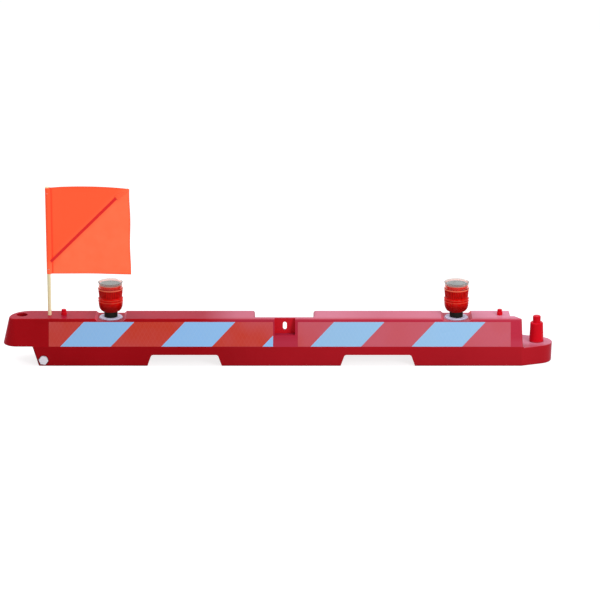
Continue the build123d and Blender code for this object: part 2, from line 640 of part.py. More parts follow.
for side, x in LIGHT_X.items():
    with BuildPart() as light_base:
        turned(x, LIGHT_Z, [(BOLT_HOLE, 0), (BASE_RADIUS, 0), (BASE_RADIUS, BASE_TOP),
                            (BASE_RADIUS - BASE_WALL, BASE_TOP), (BASE_RADIUS - BASE_WALL, BASE_FLOOR),
                            (BOLT_HOLE, BASE_FLOOR)])
    save(light_base, f"{side}_light_base")

    with BuildPart() as light_seal:
        ring(x, LIGHT_Z + BASE_TOP, *SEAL_RADII, SEAL)
    save(light_seal, f"{side}_light_seal")

    with BuildPart() as light_lens:
        shoulder = BASE_TOP + SEAL
        neck_inner = LENS_NECK - LENS_WALL
        bowl_inner = BOWL_RADIUS - BOWL_FLOOR
        barrel_inner = [radius - LENS_WALL for radius in BARREL_RADII]
        collar_inner = LENS_COLLAR - LENS_WALL
        ceiling = LENS_FLANGE_TOP - BOWL_FLOOR
        with BuildSketch(Plane(origin=(x, 0, LIGHT_Z), x_dir=(1, 0, 0), z_dir=(0, -1, 0))) as outline:
            with BuildLine():
                Polyline((neck_inner, shoulder + BOWL_FLOOR), (neck_inner, LENS_NECK_FOOT),
                         (LENS_NECK, LENS_NECK_FOOT), (LENS_NECK, shoulder), *bowl_rings(),
                         (BOWL_RADIUS, BAND_FOOT), (BAND_RADIUS, BAND_FOOT + BAND_RING / 4),
                         (BAND_RADIUS, BAND_FOOT + BAND_RING), (GROOVE_RADIUS, BAND_FOOT + 1.25 * BAND_RING),
                         (GROOVE_RADIUS, BAND_TOP - BAND_RING), (BAND_RADIUS, BAND_TOP - 0.75 * BAND_RING),
                         (BAND_RADIUS, BAND_TOP), (BARREL_RADII[0], BARREL_FOOT),
                         (BARREL_RADII[1], BARREL_TOP), (LENS_FLANGE_RADIUS, BARREL_TOP + LENS_WALL / 2),
                         (LENS_FLANGE_RADIUS, LENS_FLANGE_TOP), (LENS_COLLAR, LENS_FLANGE_TOP),
                         (LENS_COLLAR, LENS_TOP), (collar_inner, LENS_TOP), (collar_inner, ceiling),
                         (barrel_inner[1] - LENS_WALL / 2, ceiling),
                         (barrel_inner[1], ceiling - LENS_WALL / 2),
                         (barrel_inner[0], BARREL_FOOT), (bowl_inner, BAND_TOP - BAND_RING / 2),
                         (bowl_inner, BOWL_TOP))
                EllipticalCenterArc((neck_inner, BOWL_TOP), bowl_inner - neck_inner,
                                    BOWL_TOP - shoulder - BOWL_FLOOR, start_angle=270, arc_size=90)
            make_face()
        revolve(outline.sketch, axis=Axis((x, 0, 0), (0, 0, 1)))
    save(light_lens, f"{side}_light_lens")

    with BuildPart() as light_cover:
        outer, inner = COVER_RADII
        plate_top = COVER_TOP - COVER_DISH
        rim_foot = COVER_TOP - COVER_RIM
        turned(x, LIGHT_Z, [(0, plate_top - COVER_PLATE), (inner, plate_top - COVER_PLATE),
                            (inner, LENS_FLANGE_TOP), (outer, LENS_FLANGE_TOP), (outer, rim_foot),
                            (COVER_RIM_RADIUS, rim_foot + COVER_RIM / 4), (COVER_RIM_RADIUS, COVER_TOP),
                            (COVER_RIM_BORE, COVER_TOP), (inner, plate_top), (0, plate_top)])
    save(light_cover, f"{side}_light_cover")

    with BuildPart() as panel_tray:
        turned(x, LIGHT_Z + LENS_TOP, [(0, -TRAY_DEPTH), (TRAY_RADIUS, -TRAY_DEPTH), (TRAY_RADIUS, 0),
                                       (TRAY_LIP_RADIUS, 0), (TRAY_LIP_RADIUS, TRAY_LIP), (0, TRAY_LIP)])
    save(panel_tray, f"{side}_panel_tray")

    with BuildPart() as solar_panel:
        panel_foot = LENS_TOP + TRAY_LIP
        ring(x, LIGHT_Z + panel_foot, PANEL_RADIUS, 0, plate_top - COVER_PLATE - panel_foot)
    save(solar_panel, f"{side}_solar_panel")

    with BuildPart() as battery_holder:
        holder_inner = LENS_NECK - HOLDER_WALL
        disc_foot = HOLDER_TOP - HOLDER_DISC
        turned(x, LIGHT_Z, [(0, disc_foot), (holder_inner, disc_foot), (holder_inner, BASE_FLOOR),
                            (LENS_NECK, BASE_FLOOR), (LENS_NECK, HOLDER_TOP), (0, HOLDER_TOP)])
    save(battery_holder, f"{side}_battery_holder")

    with BuildPart() as battery_cells:
        for number in range(CELL_COUNT):
            angle = radians(90 + 360 * number / CELL_COUNT)
            place = (x + CELL_PLACE * cos(angle), CELL_PLACE * sin(angle), LIGHT_Z + HOLDER_TOP)
            with BuildSketch(Plane(place)):
                Circle(CELL_RADIUS)
            extrude(amount=CELL_HEIGHT)
            with BuildSketch(Plane(place)):
                Circle(CELL_STUD_RADIUS)
            extrude(amount=CELL_HEIGHT + CELL_STUD)
    save(battery_cells, f"{side}_battery_cells")

    board_foot = LIGHT_Z + HOLDER_TOP + CELL_HEIGHT + CELL_STUD
    with BuildPart() as circuit_board:
        ring(x, board_foot, BOARD_RADIUS, 0, BOARD)
    save(circuit_board, f"{side}_circuit_board")

    with BuildPart() as led_post:
        with BuildSketch(Plane((x, 0, board_foot + BOARD))):
            RegularPolygon(POST_FLATS / 2, LED_COUNT, major_radius=False)
        extrude(amount=LIGHT_Z + POST_TOP - board_foot - BOARD)
    save(led_post, f"{side}_led_post")

    with BuildPart() as leds:
        for number in range(LED_COUNT):
            angle = radians((number + 0.5) * 360 / LED_COUNT)
            out = (cos(angle), sin(angle), 0)
            place = (x + POST_FLATS / 2 * out[0], POST_FLATS / 2 * out[1], LIGHT_Z + LED_HEIGHT)
            with BuildSketch(Plane(origin=place, z_dir=out)):
                Circle(LED_RADIUS)
            extrude(amount=LED_LENGTH)
        tips = leds.edges().filter_by(GeomType.CIRCLE)
        middle = Vector(x, 0, LIGHT_Z + LED_HEIGHT)
        tips = tips.filter_by(lambda e: (e.arc_center - middle).length > POST_FLATS / 2 + LED_LENGTH / 2)
        fillet(tips, LED_DOME)
    save(leds, f"{side}_leds")

# Drain
with BuildPart() as drain_insert:
    with BuildSketch(drain_plane):
        Circle(INSERT_RADIUS)
        Circle(DRAIN_BORE, mode=Mode.SUBTRACT)
    extrude(amount=-INSERT_LENGTH)
save(drain_insert, "drain_insert")

with BuildPart() as drain_gasket:
    with BuildSketch(drain_plane):
        Circle(DRAIN_GASKET_RADII[0])
        Circle(DRAIN_GASKET_RADII[1], mode=Mode.SUBTRACT)
    extrude(amount=GASKET)
save(drain_gasket, "drain_gasket")

with BuildPart() as drain_plug:
    with BuildSketch(drain_plane.offset(GASKET)):
        RegularPolygon(DRAIN_HEX / 2, 6, major_radius=False, rotation=DRAIN_TURN)
    extrude(amount=DRAIN_HEAD)
    fillet(drain_plug.edges().group_by(Axis.Y)[0], DRAIN_EDGE)
    with BuildSketch(drain_plane.offset(GASKET)):
        Circle(DRAIN_BORE - FIT)
    extrude(amount=-DRAIN_SHANK)
save(drain_plug, "drain_plug")


# Flag
def cloth_plane(front):
    """Upright plane this far in front of the cloth's middle, from the cloth's lower left corner."""
    return Plane(origin=(CLOTH_LEFT, -front, CLOTH_LOW), x_dir=(1, 0, 0), z_dir=(0, -1, 0))


def staple_legs(spare):
    """The legs of both staples; with some to spare they cut the holes that the legs sit in."""
    front = SLEEVE_RADIUS + FIT + STAPLE_WIRE
    apart = STAPLE_WIDTH - STAPLE_WIRE
    side = STAPLE_WIRE + 2 * spare
    with BuildSketch(cloth_plane(front)) as legs:
        for height in STAPLE_HEIGHTS:
            with Locations((SLEEVE_RADIUS - apart / 2, height), (SLEEVE_RADIUS + apart / 2, height)):
                Rectangle(side, side)
    extrude(legs.sketch, amount=-STAPLE_LEG - spare, mode=Mode.SUBTRACT if spare else Mode.ADD)


def strip(front, foot, head, width):
    """Sketch of a straight strip between two points of the cloth."""
    with BuildSketch(cloth_plane(front)) as band:
        with BuildLine():
            Line(foot, head)
        trace(line_width=width)
    return band.sketch


with BuildPart() as flag_bush:
    ring(FLAG_X, HEIGHT - BUSH_DEPTH, BUSH_RADIUS, SLEEVE_BORE, BUSH_DEPTH)
save(flag_bush, "flag_bush")

with BuildPart() as flag_pole:
    ring(FLAG_X, HEIGHT - POLE_DEPTH, POLE_RADIUS, 0, POLE_DEPTH + POLE_HEIGHT)
    fillet(flag_pole.edges().group_by(Axis.Z)[-1], POLE_EDGE)
    staple_legs(FIT)
save(flag_pole, "flag_pole")

with BuildPart() as flag_cloth:
    with BuildSketch(Plane((FLAG_X, 0, CLOTH_LOW))):
        Circle(SLEEVE_RADIUS)
        with BuildLine():
            seam = (SLEEVE_RADIUS + SLEEVE_BORE) / 2
            fold = (CLOTH_WIDTH - SLEEVE_RADIUS - seam) / CLOTH_FOLDS
            for number in range(CLOTH_FOLDS):
                left = seam + number * fold
                way = 1 if number % 2 else -1
                ThreePointArc((left, 0), (left + fold / 2, way * CLOTH_WAVE), (left + fold, 0))
        trace(line_width=CLOTH)
        Circle(SLEEVE_BORE, mode=Mode.SUBTRACT)
    extrude(amount=CLOTH_HEIGHT)
    staple_legs(FIT)
save(flag_cloth, "flag_cloth")

with BuildPart() as flag_stay:
    extrude(strip(STAY_FRONT, STAY_FOOT, STAY_HEAD, STAY_WIDTH), amount=-STAY_THICK)
save(flag_stay, "flag_stay")

with BuildPart() as stay_pocket:
    pocket_front = STAY_FRONT + FIT + POCKET_CLOTH
    pocket_depth = pocket_front - CLOTH_WAVE - CLOTH / 2 - FIT
    corner = (CLOTH_WIDTH, CLOTH_HEIGHT)
    extrude(strip(pocket_front, POCKET_FOOT, corner, POCKET_WIDTH), amount=-pocket_depth)
    with BuildSketch(cloth_plane(0)):
        Rectangle(*corner, align=Align.MIN)
    extrude(amount=WIDTH, mode=Mode.INTERSECT)
    along = (STAY_HEAD[0] + FIT, STAY_HEAD[1] + FIT)
    extrude(strip(STAY_FRONT + FIT, STAY_FOOT, along, STAY_WIDTH + 2 * FIT), amount=-pocket_depth,
            mode=Mode.SUBTRACT)
save(stay_pocket, "stay_pocket")

with BuildPart() as flag_staples:
    staple_legs(0)
    with BuildSketch(cloth_plane(SLEEVE_RADIUS + FIT)):
        for height in STAPLE_HEIGHTS:
            with Locations((SLEEVE_RADIUS, height)):
                Rectangle(STAPLE_WIDTH, STAPLE_WIRE)
    extrude(amount=STAPLE_WIRE)
save(flag_staples, "flag_staples")
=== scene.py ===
# %% [markdown]
# A low water-filled plastic barricade, as road crews line them up along a site. The solids of its
# body, caps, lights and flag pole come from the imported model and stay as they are. This lesson adds
# what the solids leave plain: the fluted lamp lenses, the flag's cloth with its hems and stitches,
# every finish, the light and the camera.

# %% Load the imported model
import json
import math

import bpy
import numpy as np
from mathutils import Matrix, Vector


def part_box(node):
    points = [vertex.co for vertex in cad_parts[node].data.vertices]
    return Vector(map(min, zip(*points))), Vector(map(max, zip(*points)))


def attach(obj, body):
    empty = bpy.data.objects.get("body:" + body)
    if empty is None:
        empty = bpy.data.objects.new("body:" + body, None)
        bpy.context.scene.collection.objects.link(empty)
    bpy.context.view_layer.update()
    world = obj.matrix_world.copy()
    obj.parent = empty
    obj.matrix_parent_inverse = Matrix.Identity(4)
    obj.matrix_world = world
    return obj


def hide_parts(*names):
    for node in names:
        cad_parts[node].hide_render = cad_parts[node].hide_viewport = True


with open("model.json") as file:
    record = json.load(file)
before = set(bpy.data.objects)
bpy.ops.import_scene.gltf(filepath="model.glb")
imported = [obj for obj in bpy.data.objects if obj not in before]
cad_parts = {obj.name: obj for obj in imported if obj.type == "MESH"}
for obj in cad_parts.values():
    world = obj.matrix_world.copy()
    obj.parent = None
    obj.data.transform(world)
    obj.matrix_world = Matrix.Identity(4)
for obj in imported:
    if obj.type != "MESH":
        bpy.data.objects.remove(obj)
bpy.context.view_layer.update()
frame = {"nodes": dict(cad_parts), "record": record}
scene = bpy.context.scene
scene.view_settings.view_transform = "Standard"
MM = 0.001
SIDES = ("left", "right")


def extent(name):
    """Lowest and highest corner of a solid, in millimetres."""
    low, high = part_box(name)
    return np.array(low) / MM, np.array(high) / MM


# %% [markdown]
# The picture looks square at the front, and down by 17 degrees. The camera stands 14 m away and 4.6 m
# up, because from there a long lens keeps the flag upright at the picture's edge. Its place could be
# found by eye; here it was solved from the corners of the body in the photograph.

# %% Camera
PITCH = 16.9564  # degrees that the camera looks down
CAMERA_PLACE = (0.0972, -14.1425, 4.5883)
LENS, SENSOR = 200.0, 36.0  # millimetres
camera_data = bpy.data.cameras.new("camera")
camera_data.sensor_width = SENSOR
camera_data.lens = LENS
camera = bpy.data.objects.new("camera", camera_data)
camera.location = CAMERA_PLACE
camera.rotation_euler = (math.radians(90 - PITCH), 0, 0)
scene.collection.objects.link(camera)
scene.camera = camera
print("camera at", CAMERA_PLACE, "with a lens of", LENS, "mm")

# %% [markdown]
# Shader nodes are easy to lose in long scripts, so one small function adds a node, and another fills
# its inputs: with a number, with a link from another node, or with a colour. Colours are written as the
# hex values that a paint program shows, and turned into the linear values that a shader needs.


# %% Helpers for finishes
def linear(code):
    """Linear colour of an sRGB hex value, by the sRGB curve, with full alpha."""
    level = np.array([int(code[k:k + 2], 16) for k in (1, 3, 5)]) / 255
    low, high = level / 12.92, ((level + 0.055) / 1.055) ** 2.4
    return (*np.where(level <= 0.04045, low, high).tolist(), 1.0)


def fill(tree, made, inputs):
    """Gives each named input of a node a number, a hex colour, or a link from another node's output."""
    for name, value in inputs.items():
        if isinstance(value, bpy.types.NodeSocket):
            tree.links.new(value, made.inputs[name])
        else:
            made.inputs[name].default_value = linear(value) if isinstance(value, str) else value


def node(tree, kind, inputs, **settings):
    """Adds one shader node, with its settings and its inputs, and gives back its outputs."""
    made = tree.nodes.new("ShaderNode" + kind)
    for name, value in settings.items():
        setattr(made, name, value)
    fill(tree, made, inputs)
    return made.outputs


def material(name):
    """An empty finish: the material, its node tree, its shader and its Object coordinates."""
    made = bpy.data.materials.new(name)
    made.use_nodes = True
    tree = made.node_tree
    return made, tree, tree.nodes["Principled BSDF"], node(tree, "TexCoord", {})["Object"]


finishes = {}
print("the grey #808080 is", round(linear("#808080")[0], 3), "in linear light")

# %% [markdown]
# Most finishes here change from place to place. A mask is a factor that rises while a value, such as a
# height, runs between two limits, and the factors of several limits are multiplied. Coats of colour are
# laid over a tone as far as their masks go, as paint would be. The scale of a pattern is worked out from
# its size in millimetres.

# %% Masks, coats and the scale of patterns
FACTOR, UNDER, OVER, MIXED = 0, 6, 7, 2  # a Mix node's inputs for colours, and its colour output


def mask(tree, *limits, most=1.0):
    """The most where every value has run from its first limit to its second, nothing where one hasn't
    reached its first, and straight slopes between."""
    factor = most
    for value, start, full in limits:
        rise = node(tree, "MapRange", {"Value": value, "From Min": start, "From Max": full})[0]
        factor = node(tree, "Math", {0: factor, 1: rise}, operation="MULTIPLY")[0]
    return factor


def coated(tree, tone, *coats):
    """Lays coats over a tone, each as far as its mask goes; a colour is a hex value or a node's output."""
    for cover, coat in coats:
        tone = node(tree, "Mix", {FACTOR: cover, UNDER: tone, OVER: coat}, data_type="RGBA")[MIXED]
    return tone


def per_metre(size):
    """Texture scale that gives a pattern this size in millimetres."""
    return 1000 / size


def waves(size):
    """Scale of a wave texture whose bands repeat every so many millimetres: 20 radians for each unit."""
    return 2 * math.pi * 1000 / (20 * size)


print("a pattern of 5 mm has a scale of", per_metre(5), "as noise and", round(waves(5), 2), "as waves")

# %% [markdown]
# The body, with its pegs and coupling pin, is one moulding of red polyethylene, but its red isn't the same
# all over. Faces that look up carry a pale painted sheen, a painted reflection of the sky, from a little left
# of the middle on and most at the tongue. The pegs and the pin, which rub in their sockets, have kept a clean
# bright red. The walls of the front recess and the sloping ends of the lamps' troughs are painted a brighter
# red, as painted light, and the recess's floor a darker red, as painted shade. This could be painted on an
# image; here each change is a mask, worked out from where a point lies and which way it faces.

# %% Where the body's red changes
BODY_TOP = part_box("flag_bush")[1][2]  # the bush ends level with the body's flat top
BODY_LEFT, BODY_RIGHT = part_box("overhang_shell")[0][0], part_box("tongue_shell")[1][0]
TONGUE_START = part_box("right_upper_shell")[1][0]
TONGUE_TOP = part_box("right_lower_shell")[1][2]
LAMP_X = [sum(corner[0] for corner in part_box(f"{side}_light_base")) / 2 for side in SIDES]
SOFT = 0.001  # width of a soft border, in metres, as all places on the body are
KNOB_SOFT = 2 * SOFT
SKY_SHEEN_ALONG = [(-0.33, 0.0), (-0.19, 0.27), (0.23, 0.4), (0.45, 0.29), (0.63, 0.37), (1.0, 0.6),
            (1.18, 0.52)]  # places along x, and how strong the painted sky sheen is there
OPEN_SKY = [(0.110, 1.0), (0.130, 0.45), (0.198, 0.45), (0.204, 1.0)]  # floors below the top get less of the painted sheen, as painted shade
FRONT_EDGE, FRONT_FADE, FRONT_SHEEN = -0.066, 0.036, 0.45  # less painted sheen lies along the front edge
LEAST_SHEEN = 0.066  # painted sheen that even an upright face gets
SHEEN_POWER = 1.3  # how quickly the painted sheen fades as a face turns away from the sky
RECESS = (-0.0155, 0.0755)  # sides of the front recess
RECESS_FLOOR, WEB_FRONT = 0.138, -0.050
TROUGH_REACH, TROUGH_FOOT = 0.12, 0.18  # the troughs lie this near to a lamp's axis, above this height
LEANING = (0.2, 0.4)  # sideways part of the normal of the troughs' sloping ends


def by_place(tree, value, span, places):
    """A factor that runs straight from one share to the next, at places of a value within its span."""
    low, high = span
    line = node(tree, "ValToRGB", {"Fac": mask(tree, (value, low, high))})["Color"]
    stops = line.node.color_ramp.elements
    for number, (at, level) in enumerate(places):
        position = (at - low) / (high - low)
        stop = stops[number] if number < len(stops) else stops.new(position)
        stop.position = position
        stop.color = (level, level, level, 1.0)
    return line


def from_axis(tree, place):
    """Distance from the axis of the nearer lamp."""
    flat = node(tree, "VectorMath", {0: place, 1: (1.0, 1.0, 0.0)}, operation="MULTIPLY")[0]
    away = [node(tree, "VectorMath", {0: flat, 1: (x, 0.0, 0.0)}, operation="DISTANCE")["Value"]
            for x in LAMP_X]
    return node(tree, "Math", dict(enumerate(away)), operation="MINIMUM")[0]


def painted_sky_sheen(tree, x, y, z, upward):
    """Painted sky sheen: more where a face looks up, by its place along the body, and less at the front edge
    and in shelter.
    """
    facing = mask(tree, (upward, 0.0, 1.0))
    sky_sheen = node(tree, "Math", {0: facing, 1: SHEEN_POWER}, operation="POWER")[0]
    sky_sheen = node(tree, "Math", {0: sky_sheen, 1: LEAST_SHEEN}, operation="ADD")[0]
    behind = node(tree, "MapRange", {"Value": y, "From Min": FRONT_EDGE, "From Max": FRONT_EDGE + FRONT_FADE,
                                     "To Min": FRONT_SHEEN})[0]
    for factor in (by_place(tree, x, (BODY_LEFT, BODY_RIGHT), SKY_SHEEN_ALONG),
                   by_place(tree, z, (0.0, BODY_TOP), OPEN_SKY), behind):
        sky_sheen = node(tree, "Math", {0: sky_sheen, 1: factor}, operation="MULTIPLY")[0]
    return sky_sheen


def knobs(tree, x, z):
    """The pin, which stands on the tongue, and the pegs, which stand on the body's top."""
    pin = mask(tree, (x, TONGUE_START, TONGUE_START + KNOB_SOFT), (z, TONGUE_TOP, TONGUE_TOP + KNOB_SOFT))
    pegs = mask(tree, (z, BODY_TOP, BODY_TOP + KNOB_SOFT))
    return node(tree, "Math", {0: pin, 1: pegs}, operation="MAXIMUM")[0]


def front_recess(tree, x, y, z):
    """In front of the recess's web, between its sides and above its floor."""
    return mask(tree, (y, WEB_FRONT + SOFT, WEB_FRONT), (x, RECESS[0] - SOFT, RECESS[0]),
                (x, RECESS[1] + SOFT, RECESS[1]), (z, RECESS_FLOOR - SOFT, RECESS_FLOOR))


def trough_ends(tree, place, z, sideways):
    """The sloping ends of the lamps' troughs: near a lamp, high on the body, and leaning to a side."""
    lean = node(tree, "Math", {0: sideways}, operation="ABSOLUTE")[0]
    return mask(tree, (lean, *LEANING), (z, TROUGH_FOOT, TROUGH_FOOT + SOFT),
                (from_axis(tree, place), TROUGH_REACH, TROUGH_REACH - SOFT))


print("body and lamps at x =", [round(x, 3) for x in (BODY_LEFT, *LAMP_X, BODY_RIGHT)], "m")

# %% [markdown]
# Rotational moulding melts powder inside a turning steel mould. That leaves a waxy satin skin with a faint
# orange peel and slow drifts of tone where the wall is thicker, and pale rubs come from barricades that are
# dragged past each other. Noise at three sizes gives these. The real peel is about 2 mm, and it is drawn at 5
# mm so that it shows from afar. The upper front is painted a little purple towards the right, a painted
# reflection of the sky, and the red grows brighter along the body, as painted light. Seen along the surface
# the plastic takes the colour of the sky, which the sheen gives.

# %% Rotomoulded polyethylene
DRIFT, RUB, PEEL = 320, 55, 5  # sizes of the drifts, the rubs and the peel, in millimetres
RUB_FINER = (1.0, 6.0, 9.0)  # how much finer the rubs are along each axis
DRIFTED = (0.3, 0.7)  # noise where one tone of the drifts turns to the other
RUBBED, MOST_RUBBED = (0.6, 0.78), 0.08  # noise where the rubs start and are full, and their share
PAINTED_LIGHT_SPAN, PAINTED_LIGHT = (-0.9, 0.4), 0.27  # painted light: the red grows brighter along x, by this share
SKY_GLARE_SPAN, SKY_GLARE = (-0.35, -0.2), 0.13  # the painted purple glare starts along x, up to this share
LOOKS_FORWARD, LOOKS_UP = (-0.6, -0.9), (0.5, 0.9)  # how far a face's normal points there


def rotomoulded_polyethylene():
    """A waxy skin of two close reds, under coats of painted light and shade, clean knobs, and rubs."""
    made, tree, shader, place = material("rotomoulded_polyethylene")
    x, y, z = node(tree, "SeparateXYZ", {"Vector": place})
    normal = node(tree, "TexCoord", {})["Normal"]
    sideways, front, upward = node(tree, "SeparateXYZ", {"Vector": normal})
    drift = node(tree, "TexNoise", {"Vector": place, "Scale": per_metre(DRIFT), "Detail": 3.0})["Fac"]
    finer = node(tree, "Mapping", {"Vector": place, "Scale": RUB_FINER})[0]
    rub = node(tree, "TexNoise", {"Vector": finer, "Scale": per_metre(RUB), "Detail": 8.0,
                                  "Roughness": 0.7})["Fac"]
    purple_glare = mask(tree, (x, *SKY_GLARE_SPAN), (front, *LOOKS_FORWARD), (z, TONGUE_TOP, TONGUE_TOP + SOFT),
                 most=SKY_GLARE)
    # Painted light and shade in the front recess: a brighter red on its walls, a darker red on its floor.
    recess_light_and_shade = coated(tree, "#D01B29", (mask(tree, (upward, *LOOKS_UP)), "#A81828"))
    tone = coated(tree, "#9E080F",
                  (mask(tree, (drift, *DRIFTED)), "#AE0D17"),
                  # painted light: the red grows brighter towards the right
                  (mask(tree, (x, *PAINTED_LIGHT_SPAN), most=PAINTED_LIGHT), "#D01828"),
                  # painted reflection of the sky: a pale sheen on faces that look up
                  (painted_sky_sheen(tree, x, y, z, upward), "#F2A9C2"),
                  # painted reflection of the sky: a purple glare on the upper front
                  (purple_glare, "#D9548A"),
                  (knobs(tree, x, z), "#D60F20"),
                  (front_recess(tree, x, y, z), recess_light_and_shade),
                  # painted light: the sloping ends of the lamps' troughs are a brighter red
                  (trough_ends(tree, place, z, sideways), "#E42236"),
                  (mask(tree, (rub, *RUBBED), most=MOST_RUBBED), "#D8606A"))
    satin = node(tree, "MapRange", {"Value": rub, "To Min": 0.24, "To Max": 0.4})[0]
    peel = node(tree, "TexNoise", {"Vector": place, "Scale": per_metre(PEEL), "Detail": 2.0})["Fac"]
    bump = node(tree, "Bump", {"Height": peel, "Strength": 0.18, "Distance": 0.6 * MM})[0]
    fill(tree, shader, {"Base Color": tone, "Roughness": satin, "Normal": bump, "IOR": 1.51,
                        "Specular IOR Level": 0.04, "Sheen Weight": 0.18, "Sheen Roughness": 0.35,
                        "Sheen Tint": "#7C98FF"})
    return made


finishes["red_polyethylene"] = rotomoulded_polyethylene()
print("finish", finishes["red_polyethylene"].name)

# %% [markdown]
# The slanted bands are prismatic reflective sheeting: a clear film over rows of tiny corner cubes, sealed in
# a lattice of thin walls. From the side of the road the silver of the white film takes the colour of the sky,
# so it is painted pale blue, a painted reflection of the sky. Towards the right, and first along the upper
# edge, both films carry a painted glare of the sky. The lattice is drawn by two sets of wave bands that
# cross; real cells are about 5 mm, and they are drawn at 16 mm so that they show.

# %% Reflective sheeting
CELL, CELL_TURN = 16, 30  # millimetres between two walls of the lattice, and degrees of their slope
CELL_WALL, WALL_SHOWS = (0.9, 0.99), 0.12  # the crests of the waves are walls, and show by this share
PATCH, PATCHED, MOST_PATCHED = 140, (0.35, 0.7), 0.3  # millimetres, and shares of the faded patches
SHEETING_GLARE_SLANT = 2.0  # metres along that count as much as one metre up
SHEETING_GLARE, MOST_SHEETING_GLARE = (0.14, 0.5), 0.85  # length plus slant times height where the painted sky glare starts and is full


def reflective_sheeting(name, film, cell_wall, glare_tone):
    """Film with faded patches and a painted sky glare that grows towards the right, first along its upper
    edge.
    """
    made, tree, shader, place = material(name)
    bands = []
    for turn in (CELL_TURN, -CELL_TURN):
        tilt = (0.0, math.radians(turn), 0.0)
        slope = node(tree, "Mapping", {"Vector": place, "Rotation": tilt})[0]
        bands.append(node(tree, "TexWave", {"Vector": slope, "Scale": waves(CELL)})["Fac"])
    lattice = node(tree, "Math", dict(enumerate(bands)), operation="MAXIMUM")[0]
    wall = mask(tree, (lattice, *CELL_WALL), most=WALL_SHOWS)
    patch = node(tree, "TexNoise", {"Vector": place, "Scale": per_metre(PATCH), "Detail": 4.0})["Fac"]
    x, _, z = node(tree, "SeparateXYZ", {"Vector": place})
    slant = node(tree, "Math", {0: z, 1: SHEETING_GLARE_SLANT, 2: x}, operation="MULTIPLY_ADD")[0]
    faded_and_glare = node(tree, "Math", {0: mask(tree, (patch, *PATCHED), most=MOST_PATCHED),
                                1: mask(tree, (slant, *SHEETING_GLARE), most=MOST_SHEETING_GLARE)}, operation="ADD")[0]
    tone = coated(tree, film, (faded_and_glare, glare_tone), (wall, cell_wall))
    gloss = node(tree, "MapRange", {"Value": patch, "To Min": 0.22, "To Max": 0.4})[0]
    bump = node(tree, "Bump", {"Height": wall, "Strength": 0.25, "Distance": 0.3 * MM})[0]
    fill(tree, shader, {"Base Color": tone, "Roughness": gloss, "Normal": bump, "IOR": 1.49,
                        "Specular IOR Level": 0.2, "Coat Weight": 0.1, "Coat Roughness": 0.12})
    return made


# the pale blue of the white film is a painted reflection of the sky
finishes["white_sheeting"] = reflective_sheeting("white_reflective_sheeting", film="#92C4F6",
                                                 cell_wall="#B4D4F4", glare_tone="#98C4EA")
finishes["red_sheeting"] = reflective_sheeting("red_reflective_sheeting", film="#CA3620",
                                               cell_wall="#D2645A", glare_tone="#C85868")
print("finishes of the bands:", *list(finishes)[-2:])

# %% [markdown]
# The small mouldings share one recipe: a base tone that drifts a little, a fine grain from the mould,
# and a roughness that follows the grain. What differs is the plastic: soft white polyethylene caps, a
# white nylon drain plug, black ABS lamp feet with a spark-eroded grain, pale grey ABS trays, dull rubber
# seals, a bright polypropylene strip as the flag's stay, and what is inside the lamps.

# %% Small mouldings
TONE_DRIFT = 28  # millimetres
SPREAD = 0.08  # how far the grain varies the roughness
MOULDINGS = {  # slot: name, two tones, grain in mm, roughness, IOR, depth of the grain in mm, specular level
    "white_plastic": ("white_low_density_polyethylene", "#D4D0EE", "#E0DDF6", 1.8, 0.45, 1.51, 0.15, 0.2),
    "white_nylon": ("white_nylon", "#F6F2FF", "#FCFAFF", 1.8, 0.45, 1.53, 0.1, 0.3),
    "grey_plastic": ("pale_grey_abs", "#D6D0CC", "#E0DAD6", 1.2, 0.5, 1.54, 0.1, 0.4),
    "black_plastic": ("black_abs", "#0C0D09", "#151610", 1.0, 0.5, 1.54, 0.12, 0.12),
    "black_rubber": ("nitrile_rubber", "#17171A", "#242428", 1.5, 0.75, 1.52, 0.1, 0.4),
    "red_plastic_strip": ("red_polypropylene_strip", "#FF2C2C", "#FF3432", 2.5, 0.4, 1.49, 0.1, 0.2),
    "led_resin": ("red_epoxy", "#C83A30", "#D85A48", 1.0, 0.15, 1.55, 0.02, 0.4),
    "battery_wrap": ("battery_shrink_film", "#1E5A38", "#286A44", 2.0, 0.3, 1.5, 0.05, 0.4),
    "circuit_board": ("solder_mask", "#0E4A24", "#165A30", 0.8, 0.35, 1.55, 0.05, 0.4),
}


def moulding(name, tone, other, grain, rough, ior, depth, shine):
    """A moulded plastic or rubber of two close tones, with a grain that also varies its roughness."""
    made, tree, shader, place = material(name)
    drift = node(tree, "TexNoise", {"Vector": place, "Scale": per_metre(TONE_DRIFT), "Detail": 4.0})["Fac"]
    pits = node(tree, "TexNoise", {"Vector": place, "Scale": per_metre(grain), "Detail": 3.0})["Fac"]
    dull = node(tree, "MapRange", {"Value": pits, "To Min": rough - SPREAD, "To Max": rough + SPREAD})[0]
    bump = node(tree, "Bump", {"Height": pits, "Strength": 0.3, "Distance": depth * MM})[0]
    fill(tree, shader, {"Base Color": coated(tree, tone, (drift, other)), "Roughness": dull, "Normal": bump,
                        "IOR": ior, "Specular IOR Level": shine})
    return made


for slot, recipe in MOULDINGS.items():
    finishes[slot] = moulding(*recipe)
print(len(MOULDINGS), "mouldings,", len(finishes), "finishes so far")

# %% [markdown]
# The lamp lenses are red polycarbonate, dyed through and made to scatter, so only little of the light goes
# straight through. The raised edges of a lens are paler, a painted highlight, and its grooves and lower bowl
# are deeper, painted shade; two attributes of the lens mark them. Over it stands a cover of clear acrylic,
# whose skirt is tinted pink as painted red light of the lens. A solar panel of grey cells with a pale border
# is bonded under the cover's plate; the grey of the cells is a painted reflection of the sky, and the panel's
# front carries painted shade.

